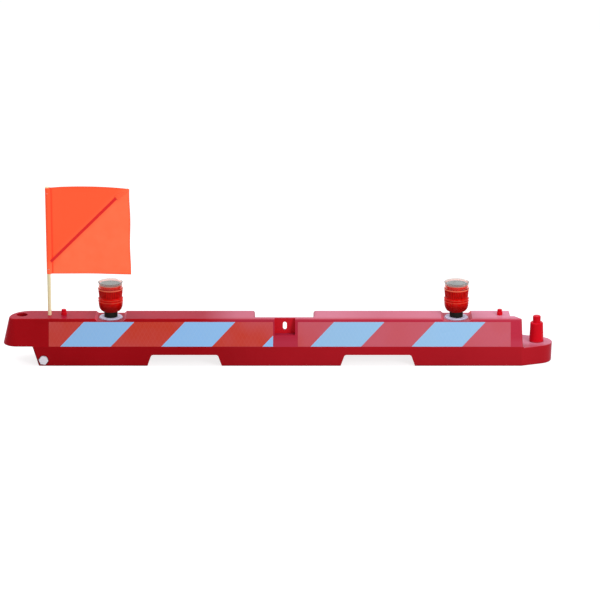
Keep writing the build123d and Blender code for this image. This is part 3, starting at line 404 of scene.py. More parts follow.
# %% Lens, cover and solar cells
HAZE, HAZED = 12, (0.38, 0.62)  # millimetres of its patches, and noise where the tone turns
PANEL_LOW, PANEL_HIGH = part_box("left_solar_panel")
PANEL_RADIUS = (PANEL_HIGH[0] - PANEL_LOW[0]) / 2
PLATE_THICK = 0.0025
PLATE_FOOT, PLATE_TOP = PANEL_HIGH[2], PANEL_HIGH[2] + PLATE_THICK
PLATE_EDGE = 0.0503  # where the cover's flat plate meets its rim
BORDER = (0.9 * PANEL_RADIUS, 0.94 * PANEL_RADIUS)  # the cells end and the panel's border begins
PANEL_SHADE, MOST_SHADE = (-0.014, -0.032), 0.55  # painted shade: the panel is darker towards its front
PANEL_GRAIN = 2  # millimetres


def red_polycarbonate():
    """Two close reds in small patches, with painted shade in the grooves and a painted highlight on the
    raised edges.
    """
    made, tree, shader, place = material("red_polycarbonate")
    haze = node(tree, "TexNoise", {"Vector": place, "Scale": per_metre(HAZE), "Detail": 3.0})["Fac"]
    groove_shade, edge = (node(tree, "Attribute", {}, attribute_name=name)["Fac"] for name in ("groove_shade", "edge"))
    # painted shade in the grooves and the bowl, and a painted highlight on the raised edges
    tone = coated(tree, "#E20A04", (mask(tree, (haze, *HAZED)), "#CA0500"), (groove_shade, "#780100"),
                  (edge, "#FF7A5C"))
    rough = node(tree, "MapRange", {"Value": haze, "To Min": 0.08, "To Max": 0.2})[0]
    fill(tree, shader, {"Base Color": tone, "Roughness": rough, "IOR": 1.58, "Transmission Weight": 0.06,
                        "Specular IOR Level": 0.02})
    return made


def clear_acrylic():
    """Clear over the panel, greyer in the rim, and pink in the skirt as painted red light of the lens. The
    wall is thin, so it mirrors less than a block of acrylic would; a lower index stands for that."""
    made, tree, shader, place = material("clear_acrylic")
    z = node(tree, "SeparateXYZ", {"Vector": place})["Z"]
    plate = mask(tree, (from_axis(tree, place), PLATE_EDGE, PLATE_EDGE - SOFT),
                 (z, PLATE_FOOT - SOFT, PLATE_FOOT))
    # painted red light of the lens in the skirt
    tint = coated(tree, "#F4B8AC", (mask(tree, (z, PLATE_TOP, PLATE_TOP + 2 * SOFT)), "#DCCCC6"),
                  (plate, "#F4F6F6"))
    haze = node(tree, "TexNoise", {"Vector": place, "Scale": per_metre(HAZE), "Detail": 3.0})["Fac"]
    rough = node(tree, "MapRange", {"Value": haze, "To Min": 0.02, "To Max": 0.08})[0]
    fill(tree, shader, {"Base Color": tint, "Roughness": rough, "IOR": 1.25, "Transmission Weight": 1.0})
    return made


def solar_cells():
    """Grey cells, a painted reflection of the sky, with thin fingers every 6 mm across and wider gaps every
    18 mm along.
    """
    made, tree, shader, place = material("silicon_solar_cells")
    grid = node(tree, "TexBrick", {"Vector": place, "Color1": "#868C89", "Color2": "#8E9491",
                                   "Mortar": "#A4AAA8", "Scale": 1.0, "Mortar Size": 0.7 * MM,
                                   "Brick Width": 18 * MM, "Row Height": 6 * MM}, offset=0.0)["Color"]
    y = node(tree, "SeparateXYZ", {"Vector": place})["Y"]
    # painted shade towards the panel's front
    tone = coated(tree, grid, (mask(tree, (y, *PANEL_SHADE), most=MOST_SHADE), "#50564F"),
                  (mask(tree, (from_axis(tree, place), *BORDER)), "#C8D0D8"))
    grain = node(tree, "TexNoise", {"Vector": place, "Scale": per_metre(PANEL_GRAIN), "Detail": 3.0})["Fac"]
    rough = node(tree, "MapRange", {"Value": grain, "To Min": 0.25, "To Max": 0.45})[0]
    fill(tree, shader, {"Base Color": tone, "Roughness": rough, "IOR": 1.52, "Specular IOR Level": 0.1})
    return made


finishes["red_lens"] = red_polycarbonate()
finishes["clear_plastic"] = clear_acrylic()
finishes["solar_cells"] = solar_cells()
print("finishes of the lamps:", *list(finishes)[-3:])

# %% [markdown]
# The flag pole is a sanded birch dowel, whose pale grain runs up it in long streaks: noise stretched
# along the height. The staples, bolts and washers are zinc-plated steel, which is a metal with a fine,
# cloudy spangle.

# %% Wood and steel
GRAIN, GRAIN_LONGER = 4, 20  # width of the streaks in millimetres, and how many times longer they are
STREAKED = (0.32, 0.62)  # noise where a streak turns pale
SPANGLE = 3  # millimetres


def birch_dowel():
    """Sanded wood: long streaks of two pale tones, with a slight relief."""
    made, tree, shader, place = material("birch_dowel")
    stretch = node(tree, "Mapping", {"Vector": place, "Scale": (1.0, 1.0, 1 / GRAIN_LONGER)})[0]
    grain = node(tree, "TexNoise", {"Vector": stretch, "Scale": per_metre(GRAIN), "Detail": 6.0,
                                    "Distortion": 0.4})["Fac"]
    tone = coated(tree, "#F6E2A2", (mask(tree, (grain, *STREAKED)), "#FFF8D2"))
    rough = node(tree, "MapRange", {"Value": grain, "To Min": 0.5, "To Max": 0.7})[0]
    bump = node(tree, "Bump", {"Height": grain, "Strength": 0.25, "Distance": 0.3 * MM})[0]
    fill(tree, shader, {"Base Color": tone, "Roughness": rough, "Normal": bump, "IOR": 1.5,
                        "Specular IOR Level": 0.3})
    return made


def zinc_plated_steel():
    """A metal of two greys, cloudy by its spangle, which also varies its polish."""
    made, tree, shader, place = material("zinc_plated_steel")
    spangle = node(tree, "TexVoronoi", {"Vector": place, "Scale": per_metre(SPANGLE)})["Distance"]
    rough = node(tree, "MapRange", {"Value": spangle, "To Min": 0.25, "To Max": 0.45})[0]
    fill(tree, shader, {"Base Color": coated(tree, "#C4C6C8", (spangle, "#A8ACB0")), "Roughness": rough,
                        "Metallic": 1.0})
    return made


finishes["pale_wood"] = birch_dowel()
finishes["steel"] = zinc_plated_steel()
print("finishes of the pole and the fixings:", *list(finishes)[-2:])

# %% [markdown]
# The flag is plain-woven nylon dyed fluorescent orange. Its map runs in metres along the weft and the warp,
# so the threads follow the cloth round the sleeve. Real threads lie 0.3 mm apart; they are drawn at 2.4 mm.
# Hems are two layers of cloth, so an attribute marks them and they look deeper; the sewn line beside the
# sleeve looks deepest, partly for its two layers and partly as painted shade of the fold there. The cloth
# above the stay is painted a little deeper, as painted shade. A fluorescent dye gives back more light than a
# white surface would, which a little emission stands for.

# %% Woven nylon
THREAD, SLUB = 2.4, 60  # millimetres between threads, and between thicker and thinner places
stay_from, stay_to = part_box("flag_stay")
STAY_LINE = (stay_from.z - stay_from.x + stay_to.z - stay_to.x) / 2  # height less x along the stay
STAY_SOFT = 0.03  # half the width of the painted shade's soft edge beside the stay


def woven_nylon():
    """Crossing ribs are the threads, darker in the gaps; hems are deeper, and the part above the stay has
    painted shade.
    """
    made, tree, shader, place = material("fluorescent_nylon")
    lie = node(tree, "TexCoord", {})["UV"]
    ribs = [node(tree, "TexWave", {"Vector": lie, "Scale": waves(THREAD)},
                 bands_direction=axis)["Fac"] for axis in ("X", "Y")]
    threads = node(tree, "Math", dict(enumerate(ribs)), operation="MULTIPLY")[0]
    gap = node(tree, "MapRange", {"Value": threads, "To Min": 0.06, "To Max": 0.0})[0]
    doubled = node(tree, "Attribute", {}, attribute_name="layers")["Fac"]
    slub = node(tree, "TexNoise", {"Vector": lie, "Scale": per_metre(SLUB), "Detail": 4.0})["Fac"]
    x, _, z = node(tree, "SeparateXYZ", {"Vector": place})
    above = node(tree, "Math", {0: z, 1: x}, operation="SUBTRACT")[0]
    tone = coated(tree, "#FF683E", (slub, "#FF764C"),
                  # painted shade on the cloth above the stay
                  (mask(tree, (above, STAY_LINE - STAY_SOFT, STAY_LINE + STAY_SOFT)), "#FF5A30"),
                  (doubled, "#FF3A18"), (gap, "#B02808"))
    bump = node(tree, "Bump", {"Height": threads, "Strength": 0.2, "Distance": 0.4 * MM})[0]
    fill(tree, shader, {"Base Color": tone, "Emission Color": tone, "Emission Strength": 0.3, "Normal": bump,
                        "Roughness": 0.7, "IOR": 1.53, "Specular IOR Level": 0.25, "Sheen Weight": 0.15,
                        "Sheen Roughness": 0.5})
    return made


finishes["orange_cloth"] = woven_nylon()
print("finish", finishes["orange_cloth"].name, "with threads drawn", THREAD, "mm apart")

# %% [markdown]
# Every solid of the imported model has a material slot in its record. The finish of that slot replaces
# the plain colour it came with, and its shape stays as it is.

# %% Finish the solids
slot_of = {part["node"]: part["material_slot"] for part in frame["record"]["subparts"]}
for name, solid in frame["nodes"].items():
    solid.data.materials.clear()
    solid.data.materials.append(finishes[slot_of[name]])
frame["nodes"]["drain_plug"].data.materials[0] = finishes["white_nylon"]
PANEL_BOND = 0.3  # how far the bonded solar panel stands into the cover, so that the two don't share a face
for side in SIDES:
    bond = frame["nodes"][f"{side}_solar_panel"].modifiers.new("bond", "DISPLACE")
    bond.strength = PANEL_BOND * MM
    bond.mid_level = 0.0
print(len(slot_of), "solids finished in", len(set(slot_of.values())), "finishes")

# %% [markdown]
# New pieces are grids of points worked out with numpy. One function joins the neighbours of a grid
# with quads and closes the directions that run round on themselves. Another makes the mesh, smooths all
# but the sharp edges, and lets the piece ride on its body. Places are in millimetres, as on a drawing,
# and go into the mesh.

# %% Surfaces from grids
SHARP = math.radians(38)  # edges that turn by more than this stay sharp


def piece(name, points, faces, body, slot):
    """A mesh object from points in millimetres and faces, with the finish of its slot."""
    mesh = bpy.data.meshes.new(name)
    mesh.from_pydata((np.asarray(points).reshape(-1, 3) * MM).tolist(), [], faces)
    mesh.materials.append(finishes[slot])
    mesh.shade_smooth()
    mesh.set_sharp_from_angle(angle=SHARP)
    made = bpy.data.objects.new(name, mesh)
    scene.collection.objects.link(made)
    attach(made, body)
    return made


def quads(rows, columns, wrap_rows=False, wrap_columns=False):
    """Corners of the quads of a grid; a wrapped direction joins its last line to its first."""
    index = np.arange(rows * columns).reshape(rows, columns)
    if wrap_rows:
        index = np.concatenate([index, index[:1]])
    if wrap_columns:
        index = np.concatenate([index, index[:, :1]], axis=1)
    corners = [index[:-1, :-1], index[1:, :-1], index[1:, 1:], index[:-1, 1:]]
    return np.stack(corners, axis=-1).reshape(-1, 4).tolist()


def mark(made, name, values):
    """Puts one number for each point into the mesh, under this name."""
    marks = made.data.attributes.new(name, "FLOAT", "POINT")
    marks.data.foreach_set("value", np.asarray(values, float).ravel())


print("a grid of 3 by 4 points has", len(quads(3, 4)), "quads, and closed", len(quads(3, 4, True, True)))

# %% [markdown]
# The lens of a barricade lamp is one red moulding: a ringed bowl, two raised bands, and a barrel of upright
# flutes that spread the beam sideways. Revolving an outline gives all but the flutes, so the outline is
# carried round the axis, and its radius dips between each two flutes.

# %% Lens outline
RINGS, RING_DEPTH, RING_POINTS = 7, 0.9, 8  # of the bowl: how many, how deep, and points along each
BOWL_FOOT = np.array((29.6, 25.0))  # radius and height above the lamp's foot, as all points here
BOWL_RIM = np.array((54.0, 59.0))
BOWL_INSIDE = np.array((23.3, 28.0))
INSIDE_POINTS = 16
LENS_OUTSIDE = [(54.0, 59.5), (54.0, 71.0), (54.8, 71.4), (55.2, 72.2), (55.2, 74.6), (54.8, 75.4),
                (53.5, 76.2), (53.5, 81.8), (54.8, 82.6), (55.2, 83.4), (55.2, 85.4), (54.6, 86.4),
                (51.4, 88.2), (50.9, 89.2), (54.8, 127.6), (55.5, 128.8), (55.5, 131.1), (55.1, 131.5),
                (49.8, 131.5), (49.8, 145.6), (49.4, 146.0), (47.5, 146.0)]
LENS_INSIDE = [(47.5, 146.0), (47.5, 128.5), (51.3, 128.5), (52.4, 127.3), (48.5, 88.5), (51.0, 84.0),
               (51.0, 59.0)]
LENS_NECK = [(23.3, 27.0), (23.3, 16.0), (25.6, 16.0), (25.6, 25.0), (29.5, 25.0)]
OUTSIDE_STEP, INSIDE_STEP, NECK_STEP = 1.8, 2.5, 2.0  # longest steps between points


def ringed_bowl():
    """Quarter oval from the foot to the rim, pressed in by a half sine at each ring."""
    way = np.linspace(0, 1, RINGS * RING_POINTS + 1)
    angle = way * np.pi / 2
    wide, high = BOWL_RIM - BOWL_FOOT
    oval = np.stack([BOWL_FOOT[0] + wide * np.sin(angle), BOWL_RIM[1] - high * np.cos(angle)], axis=1)
    inward = np.stack([-high * np.sin(angle), wide * np.cos(angle)], axis=1)
    inward /= np.linalg.norm(inward, axis=1, keepdims=True)
    return oval + inward * RING_DEPTH * np.abs(np.sin(RINGS * np.pi * way))[:, None]


def through(corners, spacing):
    """Points along the straight runs between corners, no further apart than the spacing."""
    corners = np.array(corners)
    runs = [np.linspace(a, b, max(1, math.ceil(np.hypot(*(b - a)) / spacing)), endpoint=False)
            for a, b in zip(corners[:-1], corners[1:])]
    return np.concatenate(runs)


def lens_outline():
    """Radius and height round the whole wall: up the outside from the neck, and down the inside, whose
    bowl is a quarter oval too."""
    angle = np.linspace(np.pi / 2, 0, INSIDE_POINTS)
    wide, high = LENS_INSIDE[-1] - BOWL_INSIDE
    bowl = BOWL_INSIDE + np.stack([wide * np.sin(angle), high * (1 - np.cos(angle))], axis=1)
    return np.concatenate([ringed_bowl(), through(LENS_OUTSIDE, OUTSIDE_STEP),
                           through(LENS_INSIDE, INSIDE_STEP), bowl, through(LENS_NECK, NECK_STEP)])


outline = lens_outline()
print("lens outline of", len(outline), "points, out to", outline[:, 0].max(), "mm")

# %% Fluted lenses
FLUTES, FLUTE_DEPTH, FLUTE_POINTS = 40, 1.6, 6  # how many, how deep, and points across each
FLUTED, FLUTE_FADE = (90.0, 126.5), 4.0  # heights between which the barrel is fluted, and its soft ends
BARREL_HEIGHTS, BARREL_RADII = (88.5, 127.3), (49.6, 53.6)  # the middle of the barrel's wall
EDGE_RADIUS, BAND_HIGHLIGHT = 54.7, 0.25  # what stands out further is a raised edge; the bands get less painted highlight
COLLAR_FOOT = 131.6  # above this the collar stands inside the clear cover
BAND_FOOT, BOWL_DARK, DEEP_BOWL = 71.0, 50.0, 0.7  # heights between which a painted shade deepens downwards
FLUTE_SHADE = 0.7  # how deep the painted shade is between two flutes


def fluted_lens(x, foot):
    """The outline turned about the upright line at x; between flutes the barrel's radius is less by
    the flute depth times one minus the size of a cosine, faded in over 4 mm at each end."""
    turn = np.linspace(0, 2 * np.pi, FLUTES * FLUTE_POINTS, endpoint=False)
    radius, height = outline.T
    outer = radius > np.interp(height, BARREL_HEIGHTS, BARREL_RADII)
    fade = np.clip((height - FLUTED[0]) / FLUTE_FADE, 0, 1) * np.clip((FLUTED[1] - height) / FLUTE_FADE, 0, 1)
    dip = fade * outer * (1 - np.abs(np.cos(turn * FLUTES / 2)))[:, None]
    spread = radius - FLUTE_DEPTH * dip
    return dip, np.stack([x + spread * np.cos(turn)[:, None], spread * np.sin(turn)[:, None],
                          np.broadcast_to(foot + height, spread.shape)], axis=-1)


def lens_edge_highlights():
    """How strong the painted highlight is at each point of the outline: the flange wholly, the two bands and
    the collar by a quarter.
    """
    radius, height = outline.T
    bands = BAND_HIGHLIGHT * ((radius > EDGE_RADIUS) | (height > COLLAR_FOOT))
    return np.where((radius > EDGE_RADIUS) & (height > FLUTED[1]), 1.0, bands)


def bowl_shade():
    """How deep the painted shade is at each point of the outline: from below the bands down into the bowl."""
    return DEEP_BOWL * np.clip((BAND_FOOT - outline[:, 1]) / (BAND_FOOT - BOWL_DARK), 0, 1)


for side in SIDES:
    low, high = extent(f"{side}_light_base")
    dip, grid = fluted_lens((low[0] + high[0]) / 2, low[2])
    lens = piece(f"{side}_fluted_lens", grid, quads(*grid.shape[:2], True, True), f"{side}_light", "red_lens")
    # painted highlight on the raised edges, and painted shade in the grooves and the lower bowl
    mark(lens, "edge", np.broadcast_to(lens_edge_highlights(), dip.shape))
    mark(lens, "groove_shade", np.maximum(FLUTE_SHADE * dip, bowl_shade()))
    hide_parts(f"{side}_light_lens")
    print(lens.name, len(lens.data.polygons), "quads")

# %% [markdown]
# The flag is one piece of cloth: it runs round the pole as a sleeve, is sewn to itself behind, and is
# held out to its far corner by the slanting stay. A simulation could hang it, but a stretched flag
# hardly moves, so its gentle swells are written down instead: the cloth is pressed forward along the
# stay, falls back on both sides of it, and its free edges ripple.

# %% How the cloth hangs
pole_low, pole_high = extent("flag_pole")
cloth_low, cloth_high = extent("flag_cloth")
stay_low, stay_high = extent("flag_stay")
POLE_X = (pole_low[0] + pole_high[0]) / 2
SEAM = 17.0  # from the pole's middle to the sewing line
LAYER = 0.5  # from the seam's middle to each of its two layers
CLOTH_RIGHT = cloth_high[0]
CLOTH_FOOT, CLOTH_TOP = cloth_low[2], cloth_high[2]
STAY_SIDE = 4.2  # from the stay's middle to its side, along and up
STAY_FOOT = stay_low[[0, 2]] + STAY_SIDE
STAY_HEAD = stay_high[[0, 2]] - STAY_SIDE
STAY_WAY = (STAY_HEAD - STAY_FOOT) / np.linalg.norm(STAY_HEAD - STAY_FOOT)
RIDGE, RIDGE_HALF = 4.4, 55.0  # height of the ridge along the stay, and half its width
BELLY_BELOW, BELLY_ABOVE, BELLY_HALF = 4.0, 3.0, 90.0  # how far the cloth falls back beside it
SIDE_RIPPLE, SIDE_WAVE, SIDE_SHIFT = 2.2, 7.5, 0.6  # height, and radians over the height of the cloth
FOOT_RIPPLE, FOOT_WAVE = 1.6, 9.0  # the same along the foot
RIPPLE_FULL = 60.0  # how far below the stay the ripples are full
HELD = 0.12  # share of the width over which the sleeve lets go of the cloth
TOP_RISE, TOP_DROP, FOOT_HANG = 6.0, 4.0, 5.0  # pulls of the top edge and of the foot
SIDE_WANDER, WANDER_WAVE, WANDER_SHIFT = 1.5, 11.0, 1.0  # pull of the free edge, and its radians


def across_up(x, z, start):
    """Shares of the way from a start to the free edge, and from the foot to the top."""
    return np.clip((x - start) / (CLOTH_RIGHT - start), 0, 1), (z - CLOTH_FOOT) / (CLOTH_TOP - CLOTH_FOOT)


def swell(x, z):
    """How far forward the cloth's middle lies: a ridge along the stay that falls off as a bell, less a
    belly on both sides of it. Below the stay there are ripples too: a sine up the free edge, which grows
    with the square of the way across, and one along the foot, which fades with the cube of the way up."""
    off = (x - STAY_FOOT[0]) * STAY_WAY[1] - (z - STAY_FOOT[1]) * STAY_WAY[0]
    across, up = across_up(x, z, POLE_X + SEAM)
    ridge = RIDGE * np.exp(-(off / RIDGE_HALF) ** 2)
    belly = np.where(off > 0, BELLY_BELOW, BELLY_ABOVE) * (1 - np.exp(-(off / BELLY_HALF) ** 2))
    side = SIDE_RIPPLE * across ** 2 * np.sin(SIDE_WAVE * up + SIDE_SHIFT)
    foot = FOOT_RIPPLE * (1 - up) ** 3 * np.sin(FOOT_WAVE * across)
    ripple = (side + foot) * np.clip(off / RIPPLE_FULL, 0, 1)
    return LAYER + np.clip(across / HELD, 0, 1) * (ridge - belly + ripple - LAYER)


def edges(x, z):
    """Small pulls of the cut edges, along and up, that fade inwards as high powers: the top bows up
    between its corners and drops at the free one, the foot hangs there, and the free edge wanders."""
    across, up = across_up(x, z, POLE_X)
    rise = up ** 6 * (TOP_RISE * np.sin(np.pi * across ** 0.8) - TOP_DROP * across ** 8)
    hang = (1 - up) ** 4 * FOOT_HANG * across ** 2
    return SIDE_WANDER * across ** 6 * np.sin(WANDER_WAVE * up + WANDER_SHIFT), rise - hang


print("cloth from", cloth_low.round(1), "to", cloth_high.round(1), "mm")

# %% Flag cloth as a surface
SLEEVE = 8.8  # radius of the cloth's middle round the pole
ALLOWANCE = 9.0  # cloth behind the sewing line
BEHIND, BACK, ROUND, FRONT = 4, 6, 40, 5  # points along the parts of the sleeve
ROWS, FREE_COLUMNS = 130, 120


def sleeve_path():
    """Plan of the sleeve, from behind the seam round the pole to the front of the seam: two lines
    that touch a circle about the pole, with most of that circle between them."""
    touch = math.acos(SLEEVE / SEAM)
    angle = np.linspace(touch, 2 * np.pi - touch, ROUND)
    arc = np.stack([SLEEVE * np.cos(angle), SLEEVE * np.sin(angle)], axis=1)
    behind = np.linspace((SEAM + ALLOWANCE, LAYER), (SEAM, LAYER), BEHIND, endpoint=False)
    back = np.linspace((SEAM, LAYER), arc[0], BACK, endpoint=False)
    front = np.linspace(arc[-1], (SEAM, -LAYER), FRONT + 2)[1:-1]
    return np.concatenate([behind, back, arc, front]) + (POLE_X, 0)


sleeve = sleeve_path()
free = np.linspace(POLE_X + SEAM, CLOTH_RIGHT, FREE_COLUMNS)
height = np.linspace(CLOTH_FOOT, CLOTH_TOP, ROWS)
flat_x, flat_z = np.meshgrid(np.concatenate([sleeve[:, 0], free]), height)
forward = swell(flat_x, flat_z)
forward[:, :len(sleeve)] = -sleeve[:, 1]
pull_x, pull_z = edges(flat_x, flat_z)
cloth_grid = np.stack([flat_x + pull_x, -forward, flat_z + pull_z], axis=-1)
cloth = piece("flag_woven_cloth", cloth_grid, quads(*cloth_grid.shape[:2]), "flag", "orange_cloth")
print("cloth of", len(cloth.data.polygons), "quads, up to", round(float(cloth_grid[..., 2].max())), "mm high")

# %% [markdown]
# The cloth's map is its flat size in metres, measured along the sheet itself, and the hems are marked where
# two layers lie on each other: along the top, the foot and the free edge, and beside the sleeve, where the
# mark also carries painted shade of the fold.

# %% Map, hems and thickness of the cloth
CLOTH_THICK = 0.7
HEM, HEM_SOFT = 6.0, 1.0  # width of a hem, and half its soft border
SEAM_HALF = 4.0  # half the width of the sewn line beside the sleeve
HEM_DEPTH, SLEEVE_DEPTH, POCKET_DEPTH = 0.25, 0.15, 0.2  # how deep these look beside the sewn line
step = np.linalg.norm(np.diff(cloth_grid, axis=1), axis=2).mean(0)
weft, warp = np.meshgrid(np.concatenate([[0], np.cumsum(step)]), height - CLOTH_FOOT)
seam_at = weft[0, len(sleeve)]
inset = np.minimum.reduce([warp, warp.max() - warp, weft.max() - weft])
hems = HEM_DEPTH * np.clip((HEM + HEM_SOFT - inset) / (2 * HEM_SOFT), 0, 1)
# the sewn line is darkest: partly its two layers, partly painted shade of the fold beside the sleeve
seam_and_fold_shade = np.exp(-((weft - seam_at) / SEAM_HALF) ** 2)
layers = np.maximum.reduce([hems, SLEEVE_DEPTH * (weft < seam_at), seam_and_fold_shade])


def paint_cloth(made, uv, doubled):
    """Puts the flat map and the doubled layers into the mesh."""
    mesh = made.data
    corner = np.zeros(len(mesh.loops), np.int32)
    mesh.loops.foreach_get("vertex_index", corner)
    mesh.uv_layers.new(name="flat").data.foreach_set("uv", uv.reshape(-1, 2)[corner].ravel())
    mark(made, "layers", doubled)


def thicken(made, thickness):
    """Gives a sheet its thickness, half to each side."""
    solid = made.modifiers.new("thickness", "SOLIDIFY")
    solid.thickness = thickness * MM
    solid.offset = 0.0


paint_cloth(cloth, np.stack([weft, warp], axis=-1) * MM, layers)
thicken(cloth, CLOTH_THICK)
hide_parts("flag_cloth")

# %% [markdown]
# At the far corner a strip of the same cloth is sewn over the stay's end as a pocket. It is a tunnel:
# flat along its two sewn sides, and lifted over the stay between them.

# %% Corner pocket
STAY_IN_POCKET = 18.0  # how far the stay reaches into the pocket
POCKET_INSET = (5.0, 6.0)  # from the flag's corner, along and down
POCKET_FOOT = STAY_HEAD - STAY_IN_POCKET * STAY_WAY
POCKET_HEAD = np.array((CLOTH_RIGHT, CLOTH_TOP)) - POCKET_INSET
POCKET_WAY = (POCKET_HEAD - POCKET_FOOT) / np.linalg.norm(POCKET_HEAD - POCKET_FOOT)
POCKET_SIDE = np.array((-POCKET_WAY[1], POCKET_WAY[0]))
POCKET_HALF, POCKET_TAPER = 12.0, 0.5  # half the width at the foot, and the share that it loses
POCKET_LIFT, TUNNEL, CLOSING = 4.5, 0.85, 0.35  # height, and shares of the width and length that shape it
POCKET_ROWS, POCKET_COLUMNS = 36, 41


def length_of(points):
    """Length of a line through points."""
    return np.linalg.norm(np.diff(points, axis=0), axis=1).sum()


def pocket_surface():
    """A strip along the stay's line; its lift over the cloth is a flat-topped bell over the stay, of the
    eighth power, that closes towards the corner. The sewn sides draw together there."""
    across, along = np.meshgrid(np.linspace(-1, 1, POCKET_COLUMNS), np.linspace(0, 1, POCKET_ROWS))
    side = across * POCKET_HALF * (1 - POCKET_TAPER * along)
    spot = POCKET_FOOT + along[..., None] * (POCKET_HEAD - POCKET_FOOT) + side[..., None] * POCKET_SIDE
    lift = POCKET_LIFT * np.exp(-(np.abs(across) / TUNNEL) ** 8) * np.clip((1 - along) / CLOSING, 0, 1) ** 0.7
    front = swell(spot[..., 0], spot[..., 1]) + CLOTH_THICK + lift
    return np.stack([spot[..., 0], -front, spot[..., 1]], axis=-1)


pocket_grid = pocket_surface()
pocket = piece("sewn_stay_pocket", pocket_grid, quads(*pocket_grid.shape[:2]), "flag", "orange_cloth")
pocket_long = length_of(pocket_grid[:, POCKET_COLUMNS // 2])
pocket_map = np.meshgrid(np.linspace(-POCKET_HALF, POCKET_HALF, POCKET_COLUMNS),
                         np.linspace(0, pocket_long, POCKET_ROWS))
paint_cloth(pocket, np.stack(pocket_map, axis=-1) * MM, np.full(pocket_grid.shape[:2], POCKET_DEPTH))
thicken(pocket, CLOTH_THICK)
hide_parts("stay_pocket")

# %% [markdown]
# Every hem is held by a row of lockstitches. Each stitch is a short thread that dives into the cloth at
# both ends, so one small tube is worked out along a row of starts and ends and repeated by numpy.

# %% Stitches
STITCH, GAP = 4.2, 1.6  # length of a stitch, and of the gap after it
THREAD_RADIUS, THREAD_END = 0.45, 0.35  # radius at the middle of a stitch, and its share at the ends
STITCH_ARCH, STITCH_SUNK = 0.25, 0.2  # how far a stitch rises, and how deep its ends lie
TUBE_RINGS, TUBE_SIDES = 5, 6


def on_cloth(x, z, lift):
    """Points of the cloth's front at these places, with the edges' pulls."""
    pulled_x, pulled_z = edges(x, z)
    return np.stack([x + pulled_x, -swell(x, z) - CLOTH_THICK / 2 - lift, z + pulled_z], axis=-1)


def row_of_stitches(start, end):
    """Starts and ends, in plan of the cloth, of the stitches that fit between two points."""
    start, end = np.array(start, float), np.array(end, float)
    length = np.linalg.norm(end - start)
    first = np.arange(0, length - STITCH, STITCH + GAP)[:, None] / length
    return start + first * (end - start), start + (first + STITCH / length) * (end - start)


def stitch_tubes(starts, ends, lift):
    """Six-sided tubes of five rings: the thread's radius and its height above the cloth both follow a
    half sine from one end of the stitch to the other."""
    along = np.linspace(0, 1, TUBE_RINGS)
    arch = np.sin(np.pi * along)
    spot = starts[:, None] + along[None, :, None] * (ends - starts)[:, None]
    middle = on_cloth(spot[..., 0], spot[..., 1], lift + STITCH_ARCH * arch - STITCH_SUNK)
    way = (ends - starts) / np.linalg.norm(ends - starts, axis=1, keepdims=True)
    side = np.stack([-way[:, 1], np.zeros(len(way)), way[:, 0]], axis=1)
    turn = np.linspace(0, 2 * np.pi, TUBE_SIDES, endpoint=False)
    thick = THREAD_RADIUS * (THREAD_END + (1 - THREAD_END) * arch)
    round_side = np.cos(turn)[None, None, :, None] * side[:, None, None, :]
    out = np.sin(turn)[None, None, :, None] * np.array((0, -1.0, 0))
    return middle[:, :, None, :] + thick[None, :, None, None] * (round_side + out)


def sew(name, rows, lift=0.0):
    """One piece of thread from rows of stitches, each tube closed at both ends."""
    starts, ends = (np.concatenate(part) for part in zip(*(row_of_stitches(*row) for row in rows)))
    tubes = stitch_tubes(starts, ends, lift)
    corner = np.arange(TUBE_RINGS * TUBE_SIDES).reshape(TUBE_RINGS, TUBE_SIDES)
    first = corner.size * np.arange(len(tubes))[:, None, None]
    faces = (np.array(quads(*corner.shape, False, True)) + first).reshape(-1, 4).tolist()
    faces += (np.stack([corner[0, ::-1], corner[-1]]) + first).reshape(-1, TUBE_SIDES).tolist()
    piece(name, tubes, faces, "flag", "orange_cloth")
    print(name, len(tubes), "stitches")


# %% Sewn rows
BESIDE = 2.0  # from the seam, or from a hem's inner edge, to its stitches
ROW_END, CORNER_LEFT, CORNER_RIGHT = 3.0, 6.0, 4.0  # where the rows stop short
POCKET_EDGE, POCKET_SEWN = 0.94, 1.4  # share of the pocket's half width, and height of its stitches
left_x, right_x = POLE_X + SEAM + BESIDE, CLOTH_RIGHT - HEM + BESIDE
foot_z, top_z = CLOTH_FOOT + HEM - BESIDE, CLOTH_TOP - HEM + BESIDE
edge = POCKET_EDGE * POCKET_HALF * POCKET_SIDE
sew("pocket_stitches", [(POCKET_FOOT + way * edge, POCKET_HEAD + way * (1 - POCKET_TAPER) * edge)
                        for way in (-1, 1)], POCKET_SEWN)
sew("hem_stitches", [((left_x, CLOTH_FOOT + ROW_END), (left_x, CLOTH_TOP - ROW_END)),
                     ((right_x, foot_z), (right_x, top_z)),
                     *(((left_x + CORNER_LEFT, z), (right_x - CORNER_RIGHT, z)) for z in (foot_z, top_z))])

# %% [markdown]
# The scene is a plain pale floor under soft studio light. The floor and the world show white to the
# camera, to mirrors and through clear plastic, and the object's shadow stays on the floor.

# %% Floor and world
FLOOR_HALF, FLOOR_GLOW = 40.0, 0.8  # half the floor's width, and how strongly it shows
WORLD_LEVEL = 0.55  # how strongly the world lights the object


def shown(tree):
    """1 for rays from the camera, off mirrors or through clear plastic, and 0 for all others."""
    path = node(tree, "LightPath", {})
    seen = path["Is Camera Ray"]
    for ray in ("Is Glossy Ray", "Is Transmission Ray"):
        seen = node(tree, "Math", {0: seen, 1: path[ray]}, operation="MAXIMUM")[0]
    return seen


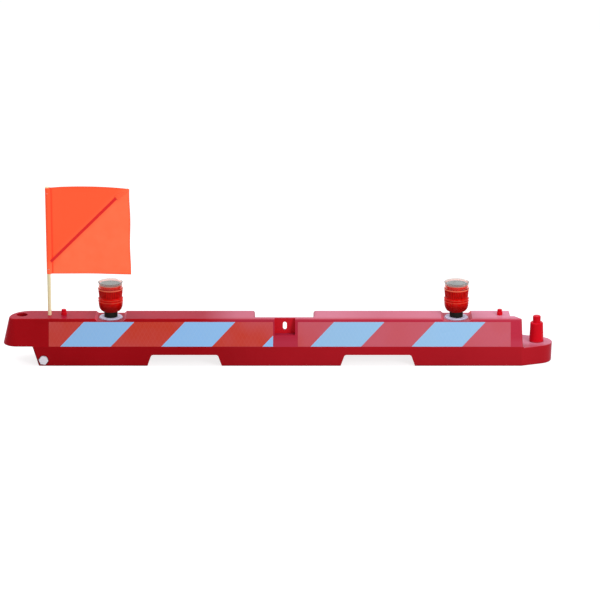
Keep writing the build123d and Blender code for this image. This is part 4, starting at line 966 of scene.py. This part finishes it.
def floor_finish():
    """A dull pale floor that glows white only where it is seen."""
    made, tree, shader, _ = material("studio_floor")
    glow = node(tree, "Math", {0: shown(tree), 1: FLOOR_GLOW}, operation="MULTIPLY")[0]
    fill(tree, shader, {"Base Color": "#A8A8AA", "Roughness": 0.9, "Specular IOR Level": 0.0,
                        "Emission Color": "#FFFFFF", "Emission Strength": glow})
    return made


floor_mesh = bpy.data.meshes.new("floor")
floor_mesh.from_pydata([(x * FLOOR_HALF, y * FLOOR_HALF, 0) for x, y in ((-1, -1), (1, -1), (1, 1), (-1, 1))],
                       [], [(0, 1, 2, 3)])
floor_mesh.materials.append(floor_finish())
floor = bpy.data.objects.new("floor", floor_mesh)
scene.collection.objects.link(floor)

world = bpy.data.worlds.new("studio")
world.use_nodes = True
scene.world = world
sky = world.node_tree
level = node(sky, "MapRange", {"Value": shown(sky), "To Min": WORLD_LEVEL, "To Max": 1.0})[0]
fill(sky, sky.nodes["Background"], {"Color": "#FFFFFF", "Strength": level})
print("floor", 2 * FLOOR_HALF, "m wide, world at", WORLD_LEVEL)

# %% [markdown]
# Apart from the dim world, the light comes from three soft boxes: a wide key at the right of the camera,
# a long one overhead, and a weak fill at the left and a little behind the object.


# %% Lamps
def soft_box(name, place, aim, size, power, tint):
    """A rectangular lamp at a place, turned to face a point."""
    data = bpy.data.lights.new(name, "AREA")
    data.shape = "RECTANGLE"
    data.size, data.size_y = size
    data.energy = power
    data.color = linear(tint)[:3]
    lamp = bpy.data.objects.new(name, data)
    lamp.location = place
    way = np.array(aim) - np.array(place)
    flat = math.hypot(way[0], way[1])
    lamp.rotation_euler = (math.atan2(flat, -way[2]), 0, math.atan2(way[1], way[0]) - math.pi / 2)
    scene.collection.objects.link(lamp)
    print(name, "at", place, power, "W")


soft_box("key", (3.8, -4.6, 2.8), aim=(0.3, 0, 0.2), size=(2.6, 2.2), power=178.0, tint="#FFFFFF")
soft_box("overhead", (0.3, 0.4, 3.4), aim=(0, 0, 0), size=(4.0, 1.6), power=49.0, tint="#F4F6FF")
soft_box("fill", (-3.2, 0.8, 2.6), aim=(0.2, 0, 0.2), size=(2.0, 2.0), power=35.0, tint="#FFFFFF")
